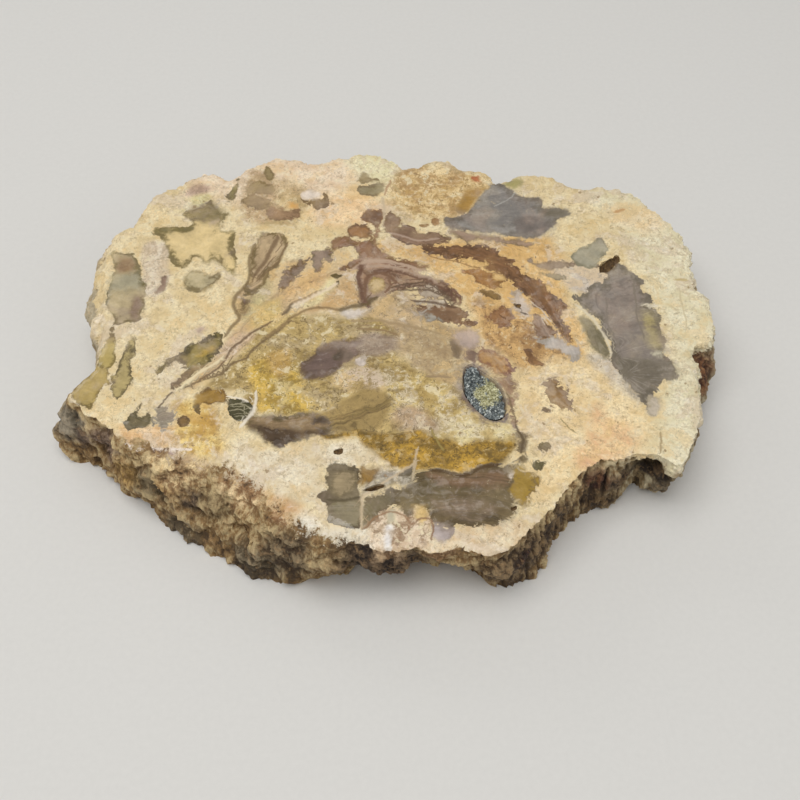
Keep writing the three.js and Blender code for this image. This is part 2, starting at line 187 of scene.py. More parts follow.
ZONES = (
    # cream of the right rim, and pinkish cream at the upper left
    Zone("62,54 92,40 94,-10 82,-45 70,-45 72,-20 79,-8 76,10 72,24 66,40", "#ECE3C4", "#E1D5AE", feather=4),
    Zone("-60,62 -20,68 -2,60 -12,52 -30,50 -48,48", "#F2DFC2", "#E4C8A6", feather=4),
    Zone("-8,68 12,68 12,56 2,55 -6,58", "#EFE6C0", "#E2D6A6", feather=3),
    # brown and olive mottle at the upper left
    Zone("-40,60 -31,59 -24,56 -21,49 -26,40 -35,39 -42,46", "#DCC294", "#A08658", "#B98E60", 0.7,
      feather=1.4, share=0.7),
    # peach tan round the upper middle
    Zone("-18,52 -2,50 2,45 -4,40 -12,38 -22,42", "#F8D8AA", "#EBC592", feather=3),
    Zone("5,62 28,60 30,52 20,42 8,42 2,50", "#EFD5A2", "#C39F62", "#B08A56", 0.8, feather=3),
    Zone("66,46 76,46 82,38 72,36 66,39", "#EFD6AE", "#E2C79A", feather=2.5, share=0.7),
    # golden tan ground round the brown streaks
    Zone("-2,30 10,33 30,33 46,33 52,24 50,12 56,-2 54,-12 44,-10 36,-6 28,-4 24,2 24,10 18,17 6,26 -2,27",
      "#ECC78C", "#D6AA66", streak=0.5, feather=2.5),
    Zone("26,10 40,4 54,-10 46,-14 34,-10 27,-3", "#DCB274", "#A0784A", "#8C6A44", 0.6, streak=0.5,
      feather=2),
    # cream and peach at the lower right
    Zone("36,-14 56,-8 66,-24 68,-36 52,-42 40,-52 40,-40 36,-26", "#F6E0B2", "#E8CA94", feather=3),
    Zone("54,-26 60,-27 66,-33 60,-40 50,-42", "#F2D29E", "#E2B486", streak=0.3, feather=2.5),
    # pale lilac quartz beside the right patch
    Zone("48,25 60,23 63,17 56,12 50,17", "#DDD0C0", "#C9BBA9", feather=1.6),
    Zone("56,-8 62,-10 68,-22 63,-20 58,-14", "#DFD2BC", "#BBAE98", feather=1.4),
    # the fan of pale wood grain, left of the middle
    Zone("-37,18 -33,21 -28,24 -24,25 -20,27 -14,29 -8,28 -5,22 -6,15 -5,9.5 -12,7.2 -20,6.5 -26,3 -30,-1 "
      "-35,-6 -40,-10 -46,-15 -50,-17 -44,-8 -42,-2 -40,3 -38,6 -39.5,12", "#DCC294", "#C4A67C", "#B49A78",
      0.3, streak=0.8, feather=0.9),
    Zone("-37,4 -36,12 -32,20 -30,16 -32,8", "#CBBB88", "#BBA97A", streak=0.6, feather=1.6),
    Zone("-35,2 -33,8 -28,11 -27,7 -31,3", "#D8BD7A", "#C6A968", streak=0.6, feather=1.6),
    Zone("-26,10 -25,15 -20,22 -16,24 -15,18 -20,14", "#DCB682", "#CAA674", streak=0.6),
    Zone("-25,8 -18,13 -14,18.6 -12.4,18.4 -13,14 -18,10", "#EADBA8", "#DCC490", streak=0.7, feather=0.9),
    Zone("-20,8 -12,15 -8,19 -6,20 -6,12 -8,9.5 -14,8.6", "#CDA874", "#BB9662", streak=0.5, feather=1.2),
    Zone("-28,1 -36,-1 -41,-1 -43,-8 -38,-8 -33,-3", "#DEC2A0", "#D0B290", streak=0.8, feather=1.2),
    # taupe chalcedony through the middle
    Zone("-8,8 4,14 14,5 20,2 26,-3 22,-10 20,-18 12,-16 4,-4 -6,1", "#CFB389", "#AD946C", "#B8A48A", 0.5,
      streak=0.6, feather=1.6),
    Zone("7,1 18,1 21,-8 20,-15 12,-14 7,-10", "#C2AA80", "#A68C66", "#BCA686", 0.5, streak=0.35,
      feather=1.6),
    # mottled ochre: dull olive above, gold flecked at its left, cream and mauve clouds, gold below
    Zone("-32,2 -24,6 -12,5 2,2 6,-9 12,-15 20,-18 26,-28 33,-30 36,-34 33,-40 20,-43 4,-41 -6,-34 -14,-28 "
      "-30,-27 -38,-20 -46,-19 -40,-12 -36,-6", "#CDB274", "#917840", "#B49E74", 0.8, streak=0.4,
      feather=1.2),
    Zone("-18,-31.6 -9,-31 4,-32 9,-31 15,-33.5 26,-34 34,-34.6 35,-38 30,-41 24,-43 18,-43.4 13,-41.4 "
      "4,-41.5 -2,-38.6 -9,-33", "#C69A30", "#6E5412", "#8A6A1C", 0.7, streak=0.25, feather=0.35),
    Zone("-8,-3 -2,-1 4,-1 5,-6 0,-9 -6,-8", "#A8927A", "#8C7864", "#C0AE98", 0.5, streak=0.5, feather=1.2),
    Zone("0,-12 8,-14 14,-18 20,-20 24,-27 18,-31 10,-26 0,-25", "#DBC282", "#A88C4C", "#D3C2A2", 0.9,
      feather=1.8),
    Zone("-34,-12 -28,-8 -22,-11 -20,-17 -17,-25 -26,-26.4 -32,-25", "#DEB850", "#9E8032", "#D4BE80", 0.7,
      feather=1.6),
    Zone("-30,-8 -24,-6 -23,-12 -28,-14", "#D9B672", "#AE8A44", "#D9C4A0", 0.9, feather=1.2),
    Zone("-12,-14 -4,-12 1,-14 -2,-19 -10,-19", "#D9BC8C", "#AE935C", "#D2BDA4", 0.9, feather=1.4),
    Zone("-17,-27.5 -10,-22.5 -3,-18 1,-19 2,-24 0,-30 -7,-31 -15,-29.5", "#A78C54", "#75602F", "#8E7850",
      0.3, streak=1.0, feather=0.9),
    Zone("4,-25 12,-26 16,-30 8,-31 3,-29", "#BFA27E", "#9F845E", "#C8B49A", 0.7, feather=1.4),
    Zone("18,-27 26,-29 34,-30 35,-33 26,-34 16,-33", "#E4D4A0", "#C9AE72", "#D9C9A8", 0.8, feather=1.6),
    # golden and rusty tints in the lower left cream
    Zone("-66,-30 -48,-31 -44,-36 -62,-35", "#F0CE9C", "#DDB078", streak=0.7, feather=1.2),
    Zone("-53,-24 -44,-22 -40,-28 -40,-37 -50,-37", "#E9CB7E", "#C79C48", "#A8803E", 0.5, feather=2.0),
    Zone("-38,-44 -30,-44 -18,-56 -24,-62 -36,-54", "#E2C496", "#C58F56", feather=2.4, share=0.7),
    Zone("-70,-33 -50,-37 -40,-43 -50,-46 -68,-38", "#DCC4A8", "#B9966E", feather=1.6, share=0.8),
    # white chalk
    Zone("-36,-33 -28,-37 -12,-34 -3,-37 1,-41 -6,-42 -14,-42 -16,-52 -26,-50 -36,-42", "#EDE1C6", "#DAC59C",
      feather=1.0),
    Zone("-4,-50 6,-46 8,-42 2,-43 -4,-47", "#CFC4B0", "#8E8064", "#6E6250", 0.6, feather=0.8),
    Zone("-20,-56 -8,-59 0,-60 6,-66 -14,-66", "#EFE7D4", "#DDCFB2", feather=1.6),
    Zone("14,-60 36,-56 40,-60 26,-68 12,-66", "#EBDAB8", "#DCBE92", feather=1.6),
    Zone("-1,-55 5,-53.5 12,-55 12,-64 0,-65", "#ECD8BC", "#CDB08C", "#8E6C48", 0.9, feather=1.2),
    Zone("-67,32 -62,30 -60,20 -63,12 -67,14 -68,24", "#E2D6C6", "#CDB79C", "#C4AC90", 0.8, feather=1.0,
      share=0.7),
    Zone("-60,50 -57,54 -50,54.5 -50,51 -55,49.6", "#D6BCA4", "#B89B84", "#C4A890", 0.8, feather=1.2),
    Zone("-60,44 -57,49 -51,49.6 -53,46", "#E2D8A4", "#CDBF86", feather=1.2),
)

PATCHES = (
    # ---- upper left: windows of honey and olive agate ----
    Patch("-65.3,38 -65.9,35.3 -63.4,33.3 -62.2,30.3 -60.3,25.3 -57.2,22.4 -54.7,23.5 -53.4,26.2 -51.8,26.2 "
      "-49,23.3 -48,25.8 -46.3,24.1 -42.2,20.5 -40.9,21 -40.9,26.2 -42.8,33.7 -42.4,36 -46.3,36.4 -47,38.7 "
      "-45.5,43 -47.5,43.5 -49.3,46.2 -50.3,48.5 -52.6,46 -57.6,43.7 -57.4,41.6 -55.1,39.5 -57.2,38 "
      "-60.9,37.6", "#DBC28C", "#84744A", rim_width=1.8, soft=0.25, grain=0.15),
    Patch("-43.2,56.8 -42.4,56.2 -42.8,52.4 -43.8,48.7 -45.9,48.5 -47,50.1 -45.1,51.4 -44.3,54.1", "#8F8254",
      "#7A6C44"),
    Patch("-54.7,20.3 -52.6,21.4 -50.1,20.8 -48,19.5 -45.9,20.8 -44.9,18.5 -47,17 -47.6,15.3 -50.1,14.1 "
      "-52.6,14.1 -54.9,15.8 -55.1,18.3", "#B7A882", "#84744E", rim_width=1.3, soft=0.3),
    Patch("-61.3,19.1 -60.1,19.5 -60.3,16.6 -60.9,13.7 -62.8,13.5 -63,14.9 -62,16.6", "#8E7460", "#7D6450",
      soft=0.25),
    Patch("-76.5,29.1 -74.3,27.8 -70.1,26.6 -68.4,23.3 -67.6,19.1 -65.9,15.8 -65.3,12 -65.9,4.1 -71.3,2.8 "
      "-72.8,2.4 -72.4,4.5 -74.3,6.6 -76.3,14.9 -75.1,20.8 -75.9,24.5 -77.2,26.6", "#B8A680", "#75683F",
      rim_width=1.6),
    Patch("-72.8,2.4 -72.1,0.2 -71.5,-4.4 -70.6,-7.8 -70.8,-11.9 -72.5,-12.3 -75.6,-10.7 -74.4,-5.3",
      "#B19C5E", "#847342"),
    Patch("-75.6,-10.7 -77.9,-15.7 -81.3,-19.4 -75.2,-25 -74.2,-21.5 -73.3,-18.2 -72.1,-16.5 -71,-18.6 "
      "-71.7,-14 -72.5,-12.3", "#AE9658", "#7E6B3C"),
    Patch("-67.3,-0.9 -66.3,-2.3 -66,-4.8 -66.5,-7.8 -66.3,-11.5 -65,-14.8 -65.4,-17.8 -67.3,-21.1 "
      "-68.5,-22.1 -69.6,-20.7 -71,-14.8 -69.6,-13.2 -68.5,-6.5 -67.9,-3.6 -68.3,-1.7", "#B3A06C", "#6E6142",
      rim_width=1.1),
    # ---- lower left streaks ----
    Patch("-62.5,-23.2 -61.7,-23.6 -62.1,-26.5 -60.8,-26.9 -59.4,-25.5 -58.8,-26.9 -59.2,-29.4 -60.8,-30.7 "
      "-63.3,-31.1 -65,-30.3 -65.4,-29 -64.4,-26.9 -63.1,-25.3", "#75694C", "#5E5438"),
    Patch("-57.6,-24.6 -54.6,-24.4 -52.6,-26.6 -54,-30 -57.4,-30", "#8E8370", "#A59A86", soft=0.3,
      ragged=1.6, grain=0.9),
    Patch("-52.3,-28.6 -51,-27.1 -49.2,-26.9 -49.4,-29.4 -51.3,-30.3", "#84683F", "#6A5336"),
    Patch("-60,-14.2 -58.8,-13.6 -55.4,-10.5 -53.8,-9.6 -51,-12 -45.8,-9.8 -43.8,-7.8 -42.5,-4.4 -42.9,-0.7 "
      "-45,-0.3 -47.5,-1.9 -53.3,-6.9 -56.7,-9 -58.5,-11.9", "#8C7B45", "#5F5434", rim_width=1.8, ragged=0.6,
      grain=0.5),
    Patch("-54,-18.6 -50,-14.5 -46,-11 -48,-10.6 -52,-13.6 -55,-17.5", "#8E7754", "#7A6646", soft=0.3,
      grain=0.6),
    Patch("-48.3,-20.5 -44.5,-18.6 -40.8,-19.3 -40.4,-22.6 -44.5,-23.5 -47.5,-23", "#9C7A3A", "#76592E",
      soft=0.25, ragged=0.6),
    Patch("-48,-24 -46.4,-23.6 -45.8,-26 -45.6,-28 -47,-26.4", "#7B6437", "#6A5636"),
    Patch("-39.4,-21.5 -36,-21.8 -32.9,-23.6 -34.2,-26.9 -35.8,-28.6 -38.3,-26.9 -39.4,-24", "#4F4A30",
      "#3F3B26", rim_width=0.6, ragged=0.2),
    # ---- the dark wood below the ochre ----
    Patch("-34.6,-26.2 -30,-26.6 -24,-26.8 -19,-26 -15.5,-26.6 -13,-28.5 -12,-30.5 -13,-32 -18,-32.6 "
      "-19,-34.2 -22.5,-34.8 -24,-34 -26.2,-34.6 -27.3,-35.8 -29.3,-34.3 -31,-31.8 -34,-30.7", "#8E7656",
      "#72603F", rim_width=1.6, soft=0.35, grain=0.6),
    # ---- upper middle ----
    Patch("-35.5,62 -33.4,61 -32.4,57.5 -34,56.2 -35.6,58", "#A28E63", "#8C7850", soft=0.3),
    Patch("-39.5,56 -35,55.5 -32,53 -33,50.6 -37,50.6 -40,52", "#AB9468", "#937C52", soft=0.35, ragged=0.8),
    Patch("-41,49 -37,50.4 -33.6,49 -33,46 -37,44.6 -40,45.6", "#A58D62", "#8C7650", soft=0.35, ragged=0.8),
    Patch("-33,46.5 -30,45.6 -27.5,44.3 -25.5,45 -24,43.2 -24.4,41.6 -27,41 -29,40.2 -32,40.4 -34,42.6",
      "#9B7C5C", "#84684A", soft=0.3, ragged=0.6, grain=0.5),
    Patch("-25.5,50.5 -24,49 -22,48.5 -20,49 -18,49 -17.5,51.2 -16.4,51.2 -16.3,49.5 -15.5,47.5 -15.8,45.8 "
      "-17.5,45.2 -18.8,44 -20.3,44.8 -21.5,46.2 -23.5,47.4", "#8C7450", "#7A6240", ragged=0.6, grain=0.4),
    Patch("-7.7,56.5 -6.2,59.5 -5,59.3 -4.6,57.5 -3,57 -1.5,57.2 -1.5,56 -4.5,55.8 -6,55.2 -7.5,55.8",
      "#9F8C66", "#8E7B55", soft=0.25),
    Patch("-8,53.5 -5.5,54.2 -2.5,54.5 0,54.8 0.3,52.5 -0.5,50.8 -2.5,50 -5,50.2 -7,51.2", "#958764",
      "#857352", soft=0.2),
    Patch("26.6,58 28.8,57.6 28.4,55.8 27,56", "#C0764A", "#B56E46", soft=0.3),
    Patch("-6.2,41.5 -5.5,43.2 -4.2,44.4 -2,44.7 -0.2,44.5 0.1,42 -0.2,38.5 -1,37 -2.2,36.8 -3,38.5 -4,39.6 "
      "-5.5,40", "#765840", "#8A6238", rim_width=0.7, grain=0.4),
    Patch("0.7,41 1.3,43 2,43.7 3.5,42.6 5,41 5.5,39.7 4.5,38.2 3,37.2 1.3,37 0.5,38.5", "#8C7056",
      "#83663F", grain=0.4),
    Patch("-11.2,36.2 -10.3,37.8 -8.5,38.8 -5.5,39 -4,38 -3.3,36 -3.5,34 -5,33.3 -7,33.6 -9,34.3 "
      "-10.5,35.2", "#9A7046", "#7C5C3C", rim_width=1.4, soft=0.2, grain=0.3),
    # the neck of purple brown wood, and the trail that leaves it to the left
    Patch("-15.5,30.5 -14.5,32.3 -12.5,34 -10.7,34.2 -9.5,32.8 -7,32.6 -4,33.2 -1.7,37.3 -0.7,36.3 "
      "-1.7,30.8 0.8,27.8 3,26.4 10,24.5 13,23.3 12,21.9 9.5,21.4 10.5,20 5,20.4 0,21.5 -5,23.5 -8.5,22.5 "
      "-12,20.2 -11,23 -8.5,24.6 -7,27 -8,29.4 -11,30 -13.8,28.5", "#8D6A50", "#80603F", rim_width=1.6,
      soft=0.3, ragged=0.7, grain=0.9),
    Patch("0.3,36.5 4,37.8 6,38.2 8,38 11,36.2 12.5,35.7 14,36.1 16,35.7 19.7,33.4 18.5,32 16.5,31.3 "
      "13.5,30.8 8,31 5.5,31.8 2.5,34.8", "#876B54", "#6E533B", ragged=0.6, grain=0.7),
    Patch("10,39 11.5,39.3 13,38.8 12,38 10.8,38.2", "#A3835A", "#957650"),
    Patch("14,40.5 15,41.5 16.3,40.5 16.3,38.8 14.8,38.3 13.8,39.2", "#A47E52", "#957048"),
    Patch("19,36 22,36.3 28,34.8 36,33.4 40,32.6 42.5,31.2 41,30 34,31.8 29,32.4 26,32 23.5,32.3 20,34.7",
      "#A78C74", "#8C7658", soft=0.3, ragged=0.5),
    # ---- the eye ----
    Patch("-5.6,24.6 -6.7,20 -6.5,16 -5.5,12 -5,9.3 -3.5,9.5 -2,11 1,12.6 9,15.4 17,12.4 20.4,9.6 21.8,10.8 "
      "18,17 14.5,18.8 10.5,20 7,21.6 -1,22.6", "#94765C", "#6E503C", rim_width=1.6, soft=0.3, ragged=0.5,
      grain=1.0),
    Patch("7.5,9.5 9,10 14,9.5 18,9.8 20.5,9 22.5,7 23.2,5.2 21.4,4 24.5,3 25.5,2.2 22,2.4 16,3.8 12.5,4.4 "
      "11,6 9.5,7 8.5,8.5", "#83654A", "#74563C", ragged=0.8, grain=0.7),
    # feathered dark tips of the fan
    Patch("-20.5,28.5 -18,28 -16,29.6 -14.2,29.6 -14,27 -15.3,24.5 -16.4,26 -16.8,23 -17.8,20.5 -18.8,21 "
      "-19.2,23.5 -20,26", "#7D634A", "#74603E", soft=0.25, ragged=0.7, grain=1.0),
    Patch("-20.2,27.5 -21.5,25.4 -23.5,26 -25,24.5 -27,21.5 -28.4,17.5 -28.5,14.3 -26.5,15.3 -25,17 "
      "-24,19.5 -22,22 -20.8,24.5", "#7C6248", "#745C3E", soft=0.25, ragged=0.7, grain=1.0),
    Patch("-14.5,20.3 -13,20.7 -12,20.2 -10.7,20.5 -11,19.4 -12,19.2 -12.3,17 -12.2,15.5 -12.8,15.5 "
      "-12.7,18.5 -14,19", "#6E5C38", "#66552F"),
    Patch("-35.5,34.5 -33,36 -29.5,35 -27.5,32 -27.4,28 -28.8,24.5 -31,21 -33,16 -36,12.5 -38.6,12.6 "
      "-37.6,17 -36.8,20.3 -37.2,25.8 -36.6,30", "#B59C78", "#84704A", rim_width=1.8, soft=0.3, ragged=0.5,
      grain=0.8),
    Patch("-40,10 -37.6,11.4 -36.6,9 -37,6.4 -39,6", "#7A6048", "#86704C", soft=0.5, ragged=0.8, grain=0.5),
    # ---- upper right: blue grey chalcedony ----
    Patch("18.5,42 21,41.6 24,43 26.5,46.5 28.5,50.5 31.5,54.5 35,55.3 38,52.8 39.5,50.5 42,49.7 45,49.5 "
      "47.3,48 46.3,45.7 48,44.8 50.5,45.4 53,45 54.8,43.7 54,42.5 51.5,41.3 49,37.7 44.5,34.5 42.5,33.2 "
      "39.5,34 31,35.5 20,37 18,39", "#868079", "#756C5F", rim_width=2.6, soft=0.2, grain=0.4),
    Patch("21,44.6 23,49 24,52.4 28,53.4 31.4,54.4 29.4,50.4 27,46.4 24,43.2", "#AC8644", "#B08F56",
      soft=0.6, ragged=0.4),
    Patch("36,54.5 38,57.3 40,57.5 42,55.5 40.5,53.5 38,53", "#A39860", "#B3A672", soft=0.6),
    Patch("53.3,27.5 56,29.5 59,31 61.8,33.5 63.6,33 63.8,31 64.6,29.5 63.5,27.5 61.5,25.5 60,23 58.5,22.5 "
      "56.5,22.9 54.5,24.3", "#A39C86", "#8C856C", rim_width=1.2, grain=0.1),
    Patch("41,25.8 43,26 44,24.2 47,24.7 53,24.8 54,23.6 52,22.8 46.5,21 44.3,22 43.5,23.2 42,24.3",
      "#9C8872", "#8C7860", soft=0.25, ragged=0.7),
    Patch("44.5,20.8 48,20.4 51,19.2 49.6,18.2 46,19.4", "#9A8C72", "#857A62", ragged=0.6),
    Patch("60,23 62,24.2 64,25 66.6,26.8 66.6,25 65.3,23.5 64.8,22 63.5,20 62,21 61.5,22.3", "#3E2A16",
      "#6B4E2C", rim_width=0.5),
    # ---- right: grey taupe chalcedony ----
    Patch("66,24 67.5,23.5 69,22.2 71,19.5 72.5,18 71.8,16.3 72.5,14.5 74.5,12.8 75,11 74,9.5 72,9.1 74.4,8 "
      "74.6,6.6 75.8,5.6 75,3 75.2,0 76,-3.3 75.4,-6 78,-11 77.8,-13 78.5,-15 74.5,-16 73,-17.3 71.5,-19 "
      "71,-20.5 71.4,-23 69.8,-26.5 67.5,-22 64.5,-16.5 63.5,-14 61.8,-11.5 60.9,-8 61.2,-4 60.6,0 59.5,3 "
      "58,5.6 53.5,10.6 52,13 54,12.3 56,13.5 57,15.6 59.5,17 61.3,16.6 62,18 63.8,20.5 65,23", "#8B8075",
      "#766C5C", rim_width=2.4, ragged=0.6, grain=0.3),
    Patch("53.6,4.4 55,5 56.6,4.8 58.3,2.5 59.7,-0.5 60.3,-4 60.4,-8.6 59,-8.3 57.5,-6 56,-4 55.2,0",
      "#8A7F64", "#7F7558", soft=0.3, grain=0.3),
    # ---- brown streaks, from the upper middle round to the right ----
    Patch("11.5,30 18,30.2 27,31 29.5,30.6 32.3,28.5 33.5,27 37.5,25 37,23.5 39.5,22.5 40,20.7 42,19 "
      "44.5,18 45.5,15.8 48.5,11.5 50.5,9.5 51.2,7.6 49.6,6.5 49,4 50.5,1 51.8,-1.5 51.5,-4 49.5,-3 46.5,2 "
      "45.6,4.6 42.5,8.5 39,13 36,17.8 34,19.5 32,20.5 29,20.6 28.6,22 27.4,24.2 21,25.5 14.5,27.4 12,28",
      "#825E3E", "#6E5036", rim_width=1.4, soft=0.2, ragged=0.9, grain=0.9),
    Patch("23.5,21.6 27,22 30,21 31.5,19 34,18 33.8,16.8 32.5,15.3 28,15.6 26,17.5 25,19.5", "#976C3E",
      "#835E36", ragged=0.9, grain=0.8),
    Patch("27,14.5 29,14 30.5,14.2 32,12.5 32.3,11 30.5,10.5 29,11.5 27.8,13", "#84683C", "#765C36",
      ragged=0.6),
    Patch("28.5,5 30.5,7.3 32.5,8.7 35,8 35.2,6 36,4.5 35,2 32.5,1.5 31,3", "#8A6240", "#765236", ragged=0.9,
      grain=0.7),
    Patch("41.3,7 43.8,4.3 46.5,1.5 47.5,-0.7 45.5,-2.5 43,-2 41.5,-0.3 41.3,3", "#8C6E54", "#765838",
      ragged=0.7, grain=0.6),
    Patch("38.5,-6.3 40,-7 41.5,-9 43,-11 42,-11.5 40,-10.3 38.8,-8.5", "#8E6640", "#7C5A3A", ragged=0.6),
    Patch("43.5,-15 45,-15.3 46,-16 47.5,-18 49.5,-22 49.5,-24 48,-25 46.5,-25.2 43,-21 43,-18", "#86673F",
      "#7A5F3C", ragged=1.2, grain=0.8),
    Patch("41.8,-24.6 43.2,-24.8 43.2,-26 42,-26", "#7E6A50", "#7E6A50", ragged=0.5),
    # ---- round the hollow ----
    Patch("26,-5.5 29.5,-6 33.5,-8.5 34.5,-10.5 35,-12.5 34,-14 31,-14.3 27,-11 25.4,-9.4", "#AB8250",
      "#87604A", rim_width=1.8, soft=0.4, ragged=0.9, grain=0.6),
    Patch("18.8,-1 19.8,-3 21.6,-6 20.5,-8.2 19,-7 18.4,-4.6", "#7E6A50", "#867258", soft=0.3),
    Patch("22.8,-5.8 25.5,-6 26.2,-8 25.4,-10.2 23,-10 22.2,-8", "#7C6555", "#86705E", soft=0.5, ragged=0.8),
    Patch("30,-13.6 33.4,-14.6 35.8,-17.4 35.4,-21.4 34,-24 34.6,-29 33.6,-29.6 32.6,-24 32.6,-20.4 "
      "30.6,-16", "#97785E", "#84664F", soft=0.6, ragged=1.2, grain=0.6),
    Patch("20.6,-14 22,-11 24.4,-10.4 29.6,-15 32.8,-20 33,-26.4 31.4,-29.2 27.6,-29 23.6,-25.6 20.8,-20.8",
      "#5F5356", "#74645A", rim_width=1.4, soft=0.8, ragged=0.8),
    # ---- the purple lens ----
    Patch("-21.6,-12.4 -19.4,-8.4 -16.6,-4.6 -13,-2.6 -9,-2.2 -4.4,-3.2 -6.4,-5 -5.2,-6.4 -8,-9.6 -11,-12.4 "
      "-14.6,-14.6 -18.6,-15.4", "#746056", "#6A5644", rim_width=1.4, soft=0.35, grain=0.5),
    Patch("-7.5,-9.9 -6,-8.4 -4,-7.6 -3.5,-9 -4.2,-11 -6,-11.2", "#D6C8BA", "#C4B4A0", soft=0.3),
    # ---- front: the window agate, and the olive and mauve band ----
    Patch("-13,-41.5 -10.5,-40.3 -6.5,-42 -5.2,-43.3 -5.2,-45 -5,-50 -4.3,-51.5 -4.7,-58.8 -8,-58.5 "
      "-12.6,-57.2 -12.3,-55.5 -12.8,-53 -15.5,-50.2 -14,-48.8 -12.8,-48.3 -13.8,-45 -13,-44.3 -13,-42.8",
      "#6F6149", "#5F523A", rim_width=1.0, ragged=0.3, grain=0.2),
    Patch("-5,-42 -2.5,-42.3 0,-42.2 -0.5,-44 -2,-46 -3.5,-47 -5,-46.8", "#96743A", "#7E6236", soft=0.5),
    Patch("-4,-51 -2.8,-50.3 0,-49.7 2,-48.7 5,-48 8,-46 10,-43.4 13,-42.2 16,-42.6 18,-43.7 21,-43.9 "
      "27,-41 33,-40.4 36,-38.6 37,-40 33.6,-42 34,-46 32.4,-50 33,-53 32,-56 30,-57 26,-57.9 20,-58.3 "
      "16,-58 13,-57 12,-54.5 10.5,-53 9,-53.3 8,-54.8 6,-55 5,-53.5 4,-52.5 2,-53 -1,-56.5 -2.5,-58 "
      "-4.5,-58.5", "#6E5F42", "#625236", rim_width=1.6, soft=0.2, ragged=0.6, grain=0.9),
    Patch("4,-44.5 7,-42 8,-41.5 7.8,-44 5.5,-44.8", "#6F6452", "#665A44"),
    Patch("33.5,-42 36,-43 38,-44 39.5,-45.5 38.5,-48 37,-51 35,-52.3 33.5,-51 31,-50 30,-47 32,-46",
      "#A08238", "#80683A", soft=0.5, ragged=1.5, grain=0.1),
    Patch("39.5,-36 41,-34.5 43,-35.5 42.2,-37.2 40.5,-37.3", "#87794F", "#786A42"),
    Patch("38,-42 39,-40.5 41,-40 41.5,-41.3 40,-42.7 38.5,-42.8", "#726848", "#645A3C"),
    Patch("34.5,-32 37,-32 38.3,-33 36.8,-35 36.4,-38 34.4,-39 35,-35", "#8F7F62", "#6F5C3C", soft=0.35,
      ragged=0.5),
    Patch("12.5,-58.5 14,-57.8 16.5,-58.8 18,-59.5 17.5,-61.5 15.5,-63 13,-61.5", "#B8AAA4", "#A89A90",
      soft=0.3),
)

